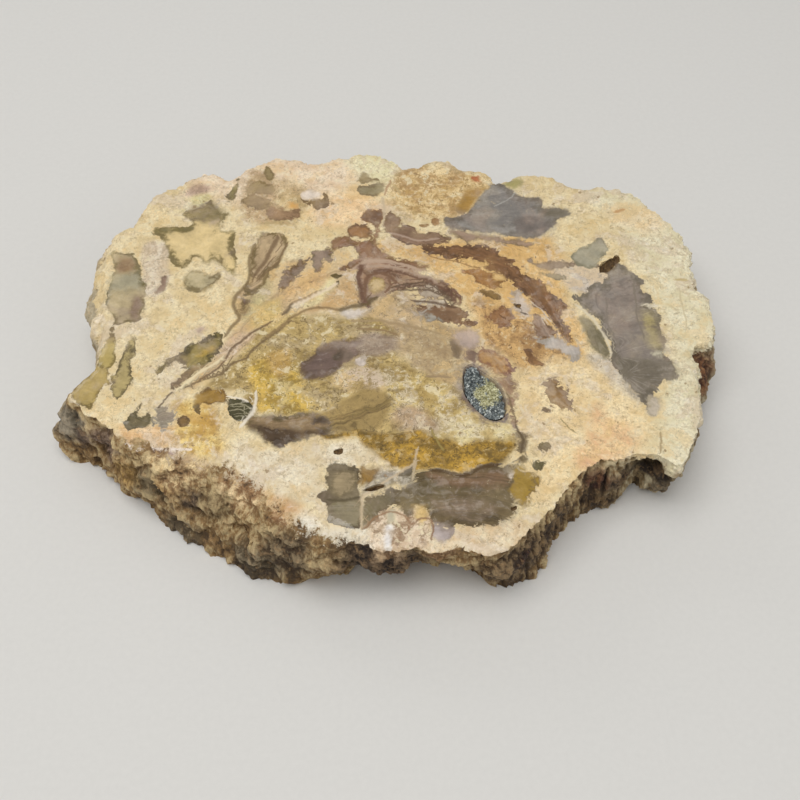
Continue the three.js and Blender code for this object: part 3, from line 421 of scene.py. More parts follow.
INLAYS = (
    # dark lobes and bands in the star, and the olive strip's brown, grey and gold thirds
    Patch("-57,43 -50.4,47.6 -46,42.4 -47.6,39.6 -53,40.2", "#857650", "#6F6238", soft=0.8),
    Patch("-65,37.2 -60,37 -55,38.4 -55,36 -61,35.2 -65,35.6", "#75683E", "#85774A", soft=0.6),
    Patch("-74.6,26.4 -70.6,25.8 -69.4,22 -73,20 -75,22", "#8C6E4A", "#8A7450", soft=0.8),
    Patch("-75.4,19 -68.6,20.4 -67.6,14.6 -75.4,14.4", "#A59C80", "#978E70", soft=0.9),
    Patch("-68.6,12 -66,12.4 -66,5 -68.4,5", "#947C66", "#8E785C", soft=0.6),
    Patch("-51,39.6 -47.6,41.6 -46.8,40 -48.6,37.8", "#A08D74", "#93815F", soft=0.6),
    Patch("-49,-8 -45,-4 -44.4,-6.4 -47.4,-9", "#B6963E", "#93803F", soft=0.8),
    # the eye's pale teardrop and the pale veining to its right
    Patch("-3.7,17.5 -2.5,18.8 -1,18.9 0,18 0.6,16.3 0,14.5 -1.3,13.3 -2.8,13.5 -3.5,15", "#CBB182",
      "#A58B52", rim_width=1.3, soft=0.25),
    Patch("-8,22.4 -3,24.6 1,24.2 5,22.4 8,20.6 5,20.6 0.5,22 -4,22.6", "#B19176", "#A4846A", soft=0.5,
      grain=0.5),
    Patch("9,14 12,16.6 15,16.4 17.6,14 18,12 13,11 10,12.2", "#B6A58E", "#8F775E", soft=0.6, ragged=1.6),
    Patch("8.4,10 12,11.4 17,10.6 16,9 11,8.6", "#C9BAA2", "#B3A088", soft=0.5, ragged=1.2),
    Patch("9.6,7 12,6.6 15,5.6 16,4.2 13,4 10.6,5.4", "#A49C8E", "#8E8270", soft=0.5, ragged=1.2),
    Patch("-11.5,7 -9,7.8 -6,7.9 -3,8.7 -4.5,7 -6.5,5 -9,4.2 -10.5,5.3", "#D2C6B8", "#C4B59E", soft=0.5),
    # white cap over the dark lobe, gold and lilac grains
    Patch("-24.4,50.4 -22.4,52.4 -19.5,51.9 -18.2,50 -20,48.9 -23,48.7", "#E6D6C4", "#DECBB4", soft=0.3),
    Patch("-27.8,47.4 -25.4,47 -25.2,45.4 -27.6,45.4", "#D6A55C", "#CFA468", soft=0.5),
    # chalcedony: darker lobes and a pale cloud
    Patch("46,44.4 50.4,45 53.4,44.4 54,43 50.4,41.8 46.4,42", "#746A58", "#7C7262", soft=0.8),
    Patch("38,41 44,42.4 49,40 48,37 43,34.2 38.6,35.4", "#7A7068", "#827970", soft=1.4),
    Patch("30,38 38,39 39,36 32,35.8 22,37.6 22,40", "#979189", "#918A80", soft=1.2),
    # right patch: olive gold edge, pale spot, dark foot
    Patch("71.2,6.4 74,6 74.4,0 75,-5 72.6,-5 71.4,0", "#AC9C6C", "#9C8E68", soft=1.2, grain=0.3),
    Patch("73.8,-12.4 76,-12.6 76,-14.4 74,-14.6", "#A69C86", "#9A907C", soft=0.3),
    Patch("62.6,-9 70,-9 77,-9.6 77.4,-14 72,-15.6 67,-20 64,-14", "#786E5E", "#807664", soft=1.2,
      grain=0.5),
    Patch("71.6,9.3 75.4,9 75,8.3 72,8.5", "#E2D6BC", "#D9CCB0", soft=0.25, ragged=0.6),
    Patch("72,-7.2 77,-6.2 77.4,-7.4 73,-8.2", "#C9C0A6", "#BDB39A", soft=0.3, ragged=0.6),
    Patch("69.6,-20.6 72.6,-21.4 71.6,-25 69.6,-27 68.6,-24", "#C2B49E", "#B8A98F", soft=0.8),
    # lilac veins among the brown streaks
    Patch("36,13.6 38.6,13 40.6,9 41,5.6 38.6,5 36.4,6.6 35.6,10", "#CBBAA8", "#BFAA90", soft=0.4,
      ragged=1.0),
    Patch("40.5,-2 43,-2.5 46,-1.5 48,-2.5 50,-3.8 53,-5 53.5,-7 52.5,-9 51,-9.8 49,-7.5 47,-6 44.5,-5.5 "
      "42.5,-3.5", "#BDB3A8", "#B0A494", soft=0.25, ragged=0.6),
    Patch("19.6,-0.6 23,1 26,-0.4 26.4,-3.4 24,-5.6 21,-5 19.8,-3", "#B6A192", "#AC9784", soft=0.5),
    # gold gaps in the brown
    Patch("22,26.4 26,25.6 29,24.4 29.4,23 26,24 22,25.4", "#DDB87A", "#D3AC6C", soft=0.2, ragged=0.7),
    Patch("31,19.4 34,19.4 34,18 31.4,17.8", "#DDBA7C", "#D3AC6C", soft=0.25),
    # dark wood: its dark lower half; the lens's olive corner
    Patch("-34,-29 -28,-30.4 -20,-31 -13,-31.2 -13,-32.4 -18,-33 -22,-35 -27,-36.2 -31,-32.4", "#54422F",
      "#4E3C2A", soft=0.6, grain=0.6),
    Patch("-17.6,-28 -14,-27 -13.4,-29 -16.6,-29.4", "#4C3C2A", "#5A4833", soft=0.3, ragged=0.9),
    Patch("-11.5,-6.4 -8.4,-6.4 -7.6,-9 -10.4,-10 -12.4,-8.6", "#57493A", "#5C4E3C", soft=0.5),
    # window agate: beige square and grey rectangle
    Patch("-11.5,-44 -10,-42.7 -7,-42.7 -5.7,-44.5 -6,-47.5 -7,-49.2 -8.5,-50 -11,-50 -12,-48.5 -12,-46",
      "#9D8B6A", "#7F7052", rim_width=1.2, soft=0.3),
    Patch("-12.2,-52 -5.2,-52 -5.2,-58 -8,-58.2 -12,-57", "#8C8064", "#837758", soft=0.35),
    # front band: brown wedge, mauve and dark olive
    Patch("12,-43.4 20,-44.6 30,-42.6 32,-47 24,-48 14,-47", "#7C6248", "#745A40", soft=0.9, grain=0.9),
    Patch("17,-50 31,-50.6 32,-56 24,-57.6 15,-56.6", "#67573C", "#605036", soft=1.2, grain=0.9),
    Patch("6,-46.4 12,-45.6 14,-50 10,-52.2 6,-51", "#64563A", "#6A5C40", soft=0.8, grain=0.8),
    Patch("-3.6,-51.4 1.6,-49.6 3,-52 -0.6,-55 -3.4,-57.6", "#7C7052", "#75684A", soft=0.5),
    Patch("31.6,-44 32.8,-43.6 33,-45 32,-45.6", "#D9CCBE", "#C9B8A0", soft=0.2),
    Patch("1.6,-54.4 3.4,-54.2 3.4,-57 2,-58", "#B9AE92", "#BDB090", soft=0.4),
    Patch("9,-53.6 11,-53.4 11.6,-56 10.4,-57.6 9,-56.4", "#D8B878", "#C9A662", soft=0.5),
    Patch("1.6,-58.6 3.2,-58.4 3.2,-64 1.4,-64", "#EFE9E2", "#E6DCCC", soft=0.4),
    Patch("-48.6,1.8 -47.4,0.8 -48.4,-0.4 -49.8,0.4", "#B79C8C", "#BFA48C", soft=0.4),
)

LINES = (
    # dark growth lines of the fan
    Line("-30.5,33.4 -31.6,29 -33.4,24 -35.4,19.6", "#7A6246", 1.3),
    Line("-27.6,31.4 -28.4,27 -31.4,22.4 -34.4,18", "#7C6444", 0.9),
    Line("-25,3.5 -30,-1.9 -34.6,-6.1 -35.8,-8.6 -39.2,-10.7 -42.1,-14 -46.3,-15.7 -50,-17.3", "#6F5836",
      0.8),
    Line("-30,3.3 -33,0.8 -36.3,-1.5 -37.9,-3.6 -40.4,-6.9 -42.5,-11.5 -47.5,-15.7", "#664C2E", 0.8),
    Line("-24.4,9.6 -25.2,7.6 -26.6,6.2", DARK, 1.2),
    Line("-57.1,-24 -54.6,-19.8 -50,-17.4", DARK, 0.6),
    Line("-30,-1 -26.5,2.5 -24,5.2 -20,7.6 -15,8.3 -12,7.4", "#8A7048", 1.0),
    Line("-12,7.4 -9,8.7 -5,9.4 -2,11.4", "#665434", 1.5),
    Line("-26.6,6.7 -24,10 -20,12.6 -16,14.6", "#A08560", 0.7),
    Line("-36.6,30.8 -37.4,25.8 -37,20.3 -38,16 -40.2,12.4 -41,9.6 -39.8,6.6 -38.6,4.6 -40.4,2 -42,-1",
      "#7E6844", 1.1),
    Line("-8,3.4 0,3.6 8,2 15,-0.6", "#A58C66", 0.9),
    Line("-6,1 1,0.4 4,-1", "#8E7450", 0.8),
    # rings of the eye, and the marbling to its right
    Line("-5.4,24 -6.4,20 -6.2,16 -5,11 -4.2,9.6", "#694A38", 1.8),
    Line("-4.4,12.6 -4.5,16 -3.6,19.4 -1,20.6 2,19.4 4,17.6", "#76563F", 1.1),
    Line("1,14 2.4,16.4 1.6,18.4", "#7C5C44", 0.8),
    Line("-8,22.2 -3,25 2,25 7,23.2 11,21.4", "#BEA48C", 0.9),
    Line("-3.4,22.6 1,23.2 6,21.6 11,19.6 15,17.4", "#B39A84", 0.8),
    Line("-2,21.6 3,21.4 8,19.6 13,17.6 17.6,14.4 20,11", "#6A4C3A", 0.9),
    Line("3,15.4 8,16.6 12,17 16,14.6 19,11", "#5F4A38", 0.7),
    Line("5,14.2 9,14.6 13,14.6 16.6,12.6 19.6,9.8", "#64503C", 0.8),
    Line("8.4,10.8 12,10.4 16,9.6 20,8.6", "#5F4834", 0.9),
    Line("2,35.6 6,34 11,33 16,33.6", "#B59C88", 0.7),
    Line("0.2,38 0.4,41 0.2,44.6 0,49", "#C9B494", 0.8),
    Line("13,27 17,25.6 22,24.4 27,22.6", "#9A7240", 0.5),
    # cream and white veins
    Line("-41.7,-8.2 -48.3,-14 -53.8,-19.4", "#EAD9B0", 0.9),
    Line("-35.4,-29.8 -33.6,-26.4 -32.3,-23.2 -32.1,-19.8", CHALK, 1.0),
    Line("-34.6,-22.5 -37,-21.4 -39.6,-20.8", CHALK, 0.6),
    Line("-38.8,-23.4 -36,-23.2 -33.8,-24.4", "#A59C7E", 0.4),
    Line("-38.8,-25.2 -36.4,-24.8 -34.4,-26", "#A59C7E", 0.35),
    Line("-37,-27 -35.6,-26.6", "#A59C7E", 0.35),
    Line("-66.7,-34.6 -60,-36 -54,-36.6 -48,-36.4", "#E9DACB", 0.9),
    Line("-57,-37.2 -52.5,-37.9", "#A68A80", 0.6),
    Line("-24,8.8 -20,11.6 -16,14 -13,16.4", "#E6D2B4", 1.2),
    Line("70,18 69.6,8 70.6,-2", "#837868", 0.5),
    Line("61.8,12 61.6,4 63.6,-6", "#857A6C", 0.5),
    Line("53.5,9 56,6.5 58,4 59.5,1 60.6,-3 61,-8", "#DCCFB2", 0.7),
    Line("33,46 37,48.5 39,51.6", "#A8A49B", 0.4),
    Line("41,10.4 43.4,8 44.6,5.4 46,3.6", "#D6C4AE", 0.4),
    Line("43.4,5 44.4,2.4", "#D6C4AE", 0.35),
    # the crack at the front and the window's seam
    Line("-4.5,-59 -4.4,-51.4 -3,-49.2 -1,-47.7 5,-43.7 8,-41.4 9,-39 9.4,-36.5", "#C9B391", 0.7),
    Line("9,-41 8.4,-43 8,-45.4", "#BBA88A", 0.5),
    Line("-12.6,-51 -9,-51.4 -5,-51", "#5A4E36", 1.0),
    Line("13,-42.6 17,-43.6 21,-44.2 25,-42.6 29,-41.2", "#523C20", 1.3),
    Line("13,-31 14.4,-34 16,-37", "#9A8644", 0.6),
    Line("32,6 33.6,4.4", "#6A4A30", 0.5),
    Line("33,-20 34,-25 34.4,-29", "#7E6A4E", 0.6),
    Line("34.6,-30 36,-33.6 35.6,-37.6", DARK, 0.9),
    Line("37,9.2 37.6,8.6", "#4E3E2C", 1.1),
    Line("38.4,6.4 39,6.2", "#4E3E2C", 0.9),
    Line("46.4,-28 48,-30 49.6,-32", "#8C7A4E", 0.4),
    Line("71.3,-32 71,-35 70.4,-38", "#A58E66", 0.5),
    Line("82.4,15 82.6,8 82.2,1", "#CDBD96", 0.5),
    Line("-3.4,-59 -1,-56 2.6,-54.6 6,-55.4 8,-58", "#94704C", 0.6),
    Line("6.6,-60 9,-57 12,-56.4 13,-59 12.6,-62", "#8A6644", 0.6),
    Line("68.2,43.6 70.4,44.4", "#C0925F", 1.1),
    Line("82.4,18.2 84.6,18.4", "#C2AC78", 1.1),
    Line("1.9,56 1.2,53 0.7,50.5", "#B48F6C", 0.7),
    Line("3.2,54 4.8,51.6", "#BDA576", 0.9),
    Line("12,-14.8 15,-14.4 18,-14.6", "#98815F", 0.8),
)

GUIDES = (
    Guide("-58,-25 -50,-17.3 -42,-14 -35,-7.4 -25,3.5 -15,8.3 -5,9.4", 0.0),
    Guide("-52,-15 -41,-4 -34,5 -25,12 -14,16 -8,18", 5.5),
    Guide("-40,2 -36,12 -29,20 -20,26 -10,30 -3,34", 12.0),
    Guide("-37,18 -34,28 -30,35", 19.0),
    Guide("-6,10 -6,18 -3,22 4,21.6 12,18.6 19,14 22,9", 8.0),
    Guide("-2,36 0,30 10,26 22,25 34,20 42,9 47,-2 50,-14", 16.0),
    Guide("4,36 16,34 30,31 40,24 47,15 51,6 54,-4 60,-16", 22.0),
    Guide("18,39 30,37 44,36 52,42", 28.0),
    Guide("22,46 34,46 46,47", 36.0),
    Guide("53,12 58,5 61,-6 66,-18 70,-26", 30.0),
    Guide("62,10 74,12", 46.0),
    Guide("62,0 75,2", 56.0),
    Guide("62,-8 77,-7", 64.0),
    Guide("64,-14 77,-12", 70.0),
    Guide("-34,-26 -20,-27 -8,-23 4,-17", -16.0),
    Guide("-34,-31 -20,-32 -6,-29 6,-24", -21.0),
    Guide("-12,-36 0,-40 12,-42 22,-43 33,-39", -27.0),
    Guide("4,-49 14,-46 24,-46 34,-48", -33.0),
    Guide("8,-55 20,-52 32,-55", -39.0),
    Guide("-66,-33 -56,-33.6 -46,-35", -30.0),
    Guide("-12,-46 -5,-46", -40.0),
    Guide("-12,-56 -5,-56", -50.0),
)

STAINS = (
    # right side and back: chalky cream
    Stain((92, -20, 14), 46, "#C5B898", "#8A7652"),
    Stain((0, 70, 14), 60, "#CBBB95", "#9D8055", 0.8),
    Stain((-88, 8, 16), 26, "#C2B496", "#947F5C"),
    # Most front stains, from here to the right front, are darker than the bark's own tones: partly their own
    # brown, partly painted shade over the front wall.
    # left tip: grey beige facet with a purple brown stripe
    Stain((-82.6, -23.5, 15), 7, "#A39680", "#6A614F"),
    Stain((-79.5, -26.4, 12), 3.8, "#7B6353", "#4A382F", 0.8),
    Stain((-72, -30, 15), 6, "#9A836F", "#614B39"),
    # left front: ochre, grey brown and purple lumps, pale foot
    Stain((-66, -36.5, 12), 5, "#CDA868", "#7C6032"),
    Stain((-58.5, -41, 13), 6, "#867658", "#483D2A", 0.9),
    Stain((-53, -45, 19), 5, "#CBA870", "#72522E"),
    Stain((-48, -47.5, 15), 4.6, "#745F4C", "#3A2D22", 0.9),
    Stain((-52, -49, 2), 7, "#A6977A", "#64553D"),
    Stain((-41, -49, 17), 5, "#B09A70", "#624D2F"),
    Stain((-24, -55, 23), 3.6, "#F6D1A0", "#9B754F"),
    Stain((-50, -40, 24), 8, "#FBE1AD", "#987953"),
    Stain((-34, -47, 24), 7, "#FDE1B0", "#9B7751"),
    Stain((-22, -61, 14), 9, "#837156", "#35291C", 0.85),
    Stain((-32, -60, 6), 8, "#96866A", "#50432F"),
    # front: rusty lip over painted shadow in the undercut
    Stain((0, -64, 14), 14, "#6C5740", "#261A10"),
    Stain((2, -65, 23), 4, "#C9AC88", "#6E5236"),
    Stain((14, -65, 23), 4.6, "#CBAB80", "#725232"),
    # right front: brown fibres, a red brown crevice deepened with painted shadow, and red pits
    Stain((34, -64, 12), 12, "#927A58", "#483622"),
    Stain((36.5, -62.8, 14), 2.6, "#5E3B2E", "#2C1711"),
    Stain((45, -53, 12), 9, "#836B4A", "#402F1D"),
    Stain((56, -42, 16), 6, "#7A5238", "#381C12"),
    Stain((56, -42, 5), 6, "#735C3C", "#3E2D1A"),
    Stain((64, -41, 14), 6, "#6E5639", "#2F2112"),
    Stain((71, -37.5, 14), 5, "#5A462E", "#23180F"),
    Stain((74, -39.5, 8), 4, "#85765D", "#473928"),
    # right side: the brown recess
    Stain((85.8, -8, 16), 8, "#7E5534", "#47281A"),
)


# ---- Numbers over many points ----


@dataclass(frozen=True)
class Pattern:
    """Fractal noise over points. Its seed moves it, so that patterns differ."""

    size: float  # of its largest features, mm
    octaves: int  # how many finer scales are added
    seed: float

    def at(self, points: np.ndarray) -> np.ndarray:
        """The pattern at points.

        Args:
            points: one row of x, y, z in mm for each point.

        Returns:
            one number for each point, about -1 to 1.
        """
        offset = Vector((self.seed, 2.3 * self.seed, -1.7 * self.seed))
        fade, finer = 0.8, 2.1
        scaled = [Vector(p) / self.size + offset for p in points.tolist()]
        return np.array([noise.fractal(p, fade, finer, self.octaves) for p in scaled])


def smooth_step(low: float, high: float, value: np.ndarray) -> np.ndarray:
    """A share that grows from 0 at low to 1 at high, in an even curve.

    Args:
        low: where it is 0. It may lie above high.
        high: where it is 1.
        value: the numbers.

    Returns:
        the share at each number.
    """
    t = np.clip((value - low) / (high - low), 0, 1)
    return t * t * (3 - 2 * t)


def approach(
    values: np.ndarray, these: np.ndarray | slice, weight: np.ndarray, target: Colour | float
) -> None:
    """Moves some of the values towards a target.

    Args:
        values: one number or one colour for each point, changed in place.
        these: which of them.
        weight: how far each one goes, 0 to 1.
        target: where they go.
    """
    weight = weight if values.ndim == 1 else weight[:, None]
    values[these] += weight * (np.array(target) - values[these])


def rounded(outline: Outline, closed: bool, cuts: int = 3) -> np.ndarray:
    """A smooth curve through an outline's points.

    Args:
        outline: its points.
        closed: whether the last point joins the first.
        cuts: how many pieces each side is cut into.

    Returns:
        the curve's points, a row of x, y for each.
    """
    p = np.array([point.split(",") for point in outline.split()], float)
    n = len(p)
    if closed:
        before, start, end, after = np.roll(p, 1, 0), p, np.roll(p, -1, 0), np.roll(p, -2, 0)
    else:
        padded = np.vstack([2 * p[0] - p[1], p, 2 * p[-1] - p[-2]])
        before, start, end, after = padded[:-3], padded[1:-2], padded[2:-1], padded[3:]
        n -= 1
    pieces = []
    for t in np.arange(cuts) / cuts:
        square = (2 * before - 5 * start + 4 * end - after) * t**2
        cube = (3 * start - before - 3 * end + after) * t**3
        pieces.append(0.5 * (2 * start + (end - before) * t + square + cube))
    curve = np.stack(pieces, 1).reshape(n * cuts, 2)
    return curve if closed else np.vstack([curve, p[-1]])


def along_sides(points: np.ndarray, start: np.ndarray, end: np.ndarray) -> tuple[np.ndarray, np.ndarray]:
    """How far each point lies from each side, and on which hand.

    Args:
        points: n rows of x, y.
        start: m rows, where the sides start.
        end: m rows, where they end.

    Returns:
        the distance, and the offset to the left, each n by m.
    """
    side = end - start
    length = np.maximum(np.linalg.norm(side, axis=1), 1e-9)
    rel = points[:, None] - start[None]
    share = np.clip((rel * side).sum(2) / length**2, 0, 1)
    distance = np.linalg.norm(rel - share[..., None] * side, axis=2)
    return distance, (side[:, 0] * rel[..., 1] - side[:, 1] * rel[..., 0]) / length


def inside_depth(points: np.ndarray, loop: np.ndarray) -> np.ndarray:
    """How deep each point lies inside a closed loop, below zero outside it.

    Args:
        points: n rows of x, y.
        loop: the loop's points.

    Returns:
        n depths, mm.
    """
    end = np.roll(loop, -1, 0)
    nearest = np.full(len(points), np.inf)
    crossings = np.zeros(len(points), int)
    block = 200
    for i in range(0, len(loop), block):
        a, b = loop[i : i + block], end[i : i + block]
        distance, _ = along_sides(points, a, b)
        nearest = np.minimum(nearest, distance.min(1))
        above_a = a[None, :, 1] > points[:, 1:2]
        above_b = b[None, :, 1] > points[:, 1:2]
        rise = np.where(b[:, 1] == a[:, 1], 1e-12, b[:, 1] - a[:, 1])
        cut_x = a[:, 0] + (points[:, 1:2] - a[:, 1]) * (b[:, 0] - a[:, 0]) / rise
        crossings += ((above_a != above_b) & (points[:, :1] < cut_x)).sum(1)
    return np.where(crossings % 2 == 1, nearest, -nearest)


def blurred(values: np.ndarray, sigma: float, axis: int, wrap: bool) -> np.ndarray:
    """Values blurred along one axis.

    Args:
        values: the numbers.
        sigma: the blur's width, in steps.
        axis: the axis.
        wrap: whether the last value lies beside the first.

    Returns:
        the blurred numbers.
    """
    half = max(1, int(3 * sigma))
    kernel = np.exp(-0.5 * (np.arange(-half, half + 1) / sigma) ** 2)
    kernel /= kernel.sum()
    out = np.zeros_like(values)
    size = values.shape[axis]
    for share, shift in zip(kernel, range(-half, half + 1)):
        index = np.arange(size) + shift
        index = index % size if wrap else np.clip(index, 0, size - 1)
        out += share * np.take(values, index, axis)
    return out


def loops_of(edges: list[tuple[int, int]]) -> list[list[int]]:
    """Chains directed edges into closed loops.

    Args:
        edges: pairs of point numbers.

    Returns:
        each loop's point numbers.
    """
    follows = dict(edges)
    loops = []
    while follows:
        start, here = follows.popitem()
        loop = [start]
        while here != start:
            loop.append(here)
            here = follows.pop(here)
        loops.append(loop)
    return loops


def loop_area(points: np.ndarray) -> float:
    """The signed area inside a loop of x, y rows."""
    x, y = points[:, 0], points[:, 1]
    return 0.5 * float((x * np.roll(y, -1) - np.roll(x, -1) * y).sum())


def drawn(places: np.ndarray) -> tuple[np.ndarray, np.ndarray]:
    """Places of the part's frame as x and y of the drawing, mm."""
    return places[:, 0] - DRAWING_ORIGIN[0], places[:, 1] - DRAWING_ORIGIN[1]


class Drawing:
    """Works out, for any points, what the outlines say there."""

    WARPS = (Pattern(5.0, 3, 3.1), Pattern(5.0, 3, 8.7))
    DRIFTS = (Pattern(10.0, 2, 5.3), Pattern(10.0, 2, 1.9))
    WARP = 0.55  # how far the warps bend an outline, mm
    DRIFT = 2.2  # how far the drifts bend a soft zone as well, mm
    STAIN_WARP = 2.6  # how far the warps bend a stain, mm
    PATCH_REACH = 4.0  # beyond this from a patch its depth isn't worked out, mm
    LINE_REACH = 1.7  # the same for a line, mm
    TAPER = 0.5  # how fast a line narrows past its end
    GUIDE_BLUR = 0.35  # mm
    GUIDE_FALL = 1.8  # how fast a guide's pull falls with distance

    def __init__(self, places: np.ndarray) -> None:
        """Sets the points.

        Args:
            places: n rows of x, y, z in the part's frame, mm.
        """
        warp = np.stack([pattern.at(places) for pattern in self.WARPS], 1)
        drift = np.stack([pattern.at(places) for pattern in self.DRIFTS], 1)
        self.flat = places[:, :2] - np.array(DRAWING_ORIGIN)
        self.warped = self.flat + self.WARP * warp
        self.drifted = self.warped + self.DRIFT * drift
        lump = self.STAIN_WARP * np.column_stack([warp, warp[:, 0] - warp[:, 1]])
        self.solid = np.column_stack([self.flat, places[:, 2]]) + lump

    def filled(self, value: Colour | float | tuple[float, ...]) -> np.ndarray:
        """The same number or colour for every point."""
        return np.full(len(self.flat), value) if np.isscalar(value) else np.tile(value, (len(self.flat), 1))

    @staticmethod
    def near(points: np.ndarray, curve: np.ndarray, reach: float) -> np.ndarray:
        """The numbers of the points within reach of a curve's box."""
        low, high = curve.min(0) - reach, curve.max(0) + reach
        return np.nonzero(((points >= low) & (points <= high)).all(1))[0]

    def ground(self) -> dict[str, np.ndarray]:
        """The ground's three tones, and how flecked and how streaked it is.

        Returns:
            attribute name to values.
        """
        values = {name: self.filled(value) for name, value in GROUND.values().items()}
        for zone in ZONES:
            loop = rounded(zone.outline, True)
            these = self.near(self.drifted, loop, 2 * zone.feather)
            depth = inside_depth(self.drifted[these], loop)
            weight = zone.share * smooth_step(-zone.feather, zone.feather, depth)
            for name, target in zone.values().items():
                approach(values[name], these, weight, target)
        return values

    def patches(self, patches: tuple[Patch, ...], layer: str) -> dict[str, np.ndarray]:
        """A layer of crisp patches: depth, tones and edge for each point.

        Args:
            patches: the layer's patches.
            layer: the layer's name.

        Returns:
            attribute name to values.
        """
        best = np.full(len(self.flat), -self.PATCH_REACH)
        values = {name: self.filled(value) for name, value in BARE.values(layer).items()}
        for patch in patches:
            loop = rounded(patch.outline, True)
            these = self.near(self.warped, loop, self.PATCH_REACH)
            depth = inside_depth(self.warped[these], loop)
            deeper = depth > best[these]
            these = these[deeper]
            best[these] = depth[deeper]
            for name, value in patch.values(layer).items():
                values[name][these] = value
        return {f"{layer}_depth": best} | values

    def lines(self) -> dict[str, np.ndarray]:
        """The veins and growth lines: offset across the nearest, its half width and its tone.

        Returns:
            attribute name to values.
        """
        nearest, offset = self.filled(self.LINE_REACH), self.filled(self.LINE_REACH)
        width, colour = self.filled(-1.0), self.filled(linear(TAUPE))
        for line in LINES:
            path = rounded(line.path, False)
            these = self.near(self.warped, path, self.LINE_REACH)
            distance, left = along_sides(self.warped[these], path[:-1], path[1:])
            side = distance.argmin(1)
            rows = np.arange(len(these))
            distance, left = distance[rows, side], left[rows, side]
            closer = distance < nearest[these]
            these, distance, left = these[closer], distance[closer], left[closer]
            beyond = np.sqrt(np.maximum(distance**2 - left**2, 0))
            nearest[these] = distance
            offset[these] = left
            width[these] = line.width / 2 - self.TAPER * beyond
            colour[these] = linear(line.colour)
        return {"line_offset": offset, "line_width": width, "line_colour": colour}

    def flow(self) -> np.ndarray:
        """Place across the grain, mm, from the guides near each point."""
        total, weight = self.filled(0.0), self.filled(0.0)
        for guide in GUIDES:
            path = rounded(guide.path, False, 2)
            distance, _ = along_sides(self.flat, path[:-1], path[1:])
            pull = 1 / (distance.min(1) + self.GUIDE_BLUR) ** self.GUIDE_FALL
            total += pull * guide.level
            weight += pull
        return total / weight

    def bark(self) -> dict[str, np.ndarray]:
        """The bark's pale and deep tones.

        Returns:
            attribute name to values.
        """
        pale, deep = self.filled(linear(BARK.pale)), self.filled(linear(BARK.deep))
        full, gone = 0.55, 1.25  # of a stain's radius
        for stain in STAINS:
            away = np.linalg.norm(self.solid - np.array(stain.centre), axis=1)
            weight = stain.share * smooth_step(gone, full, away / stain.radius)
            approach(pale, slice(None), weight, linear(stain.pale))
            approach(deep, slice(None), weight, linear(stain.deep))
        return {"bark_pale": pale, "bark_deep": deep}


# ---- The stone ----


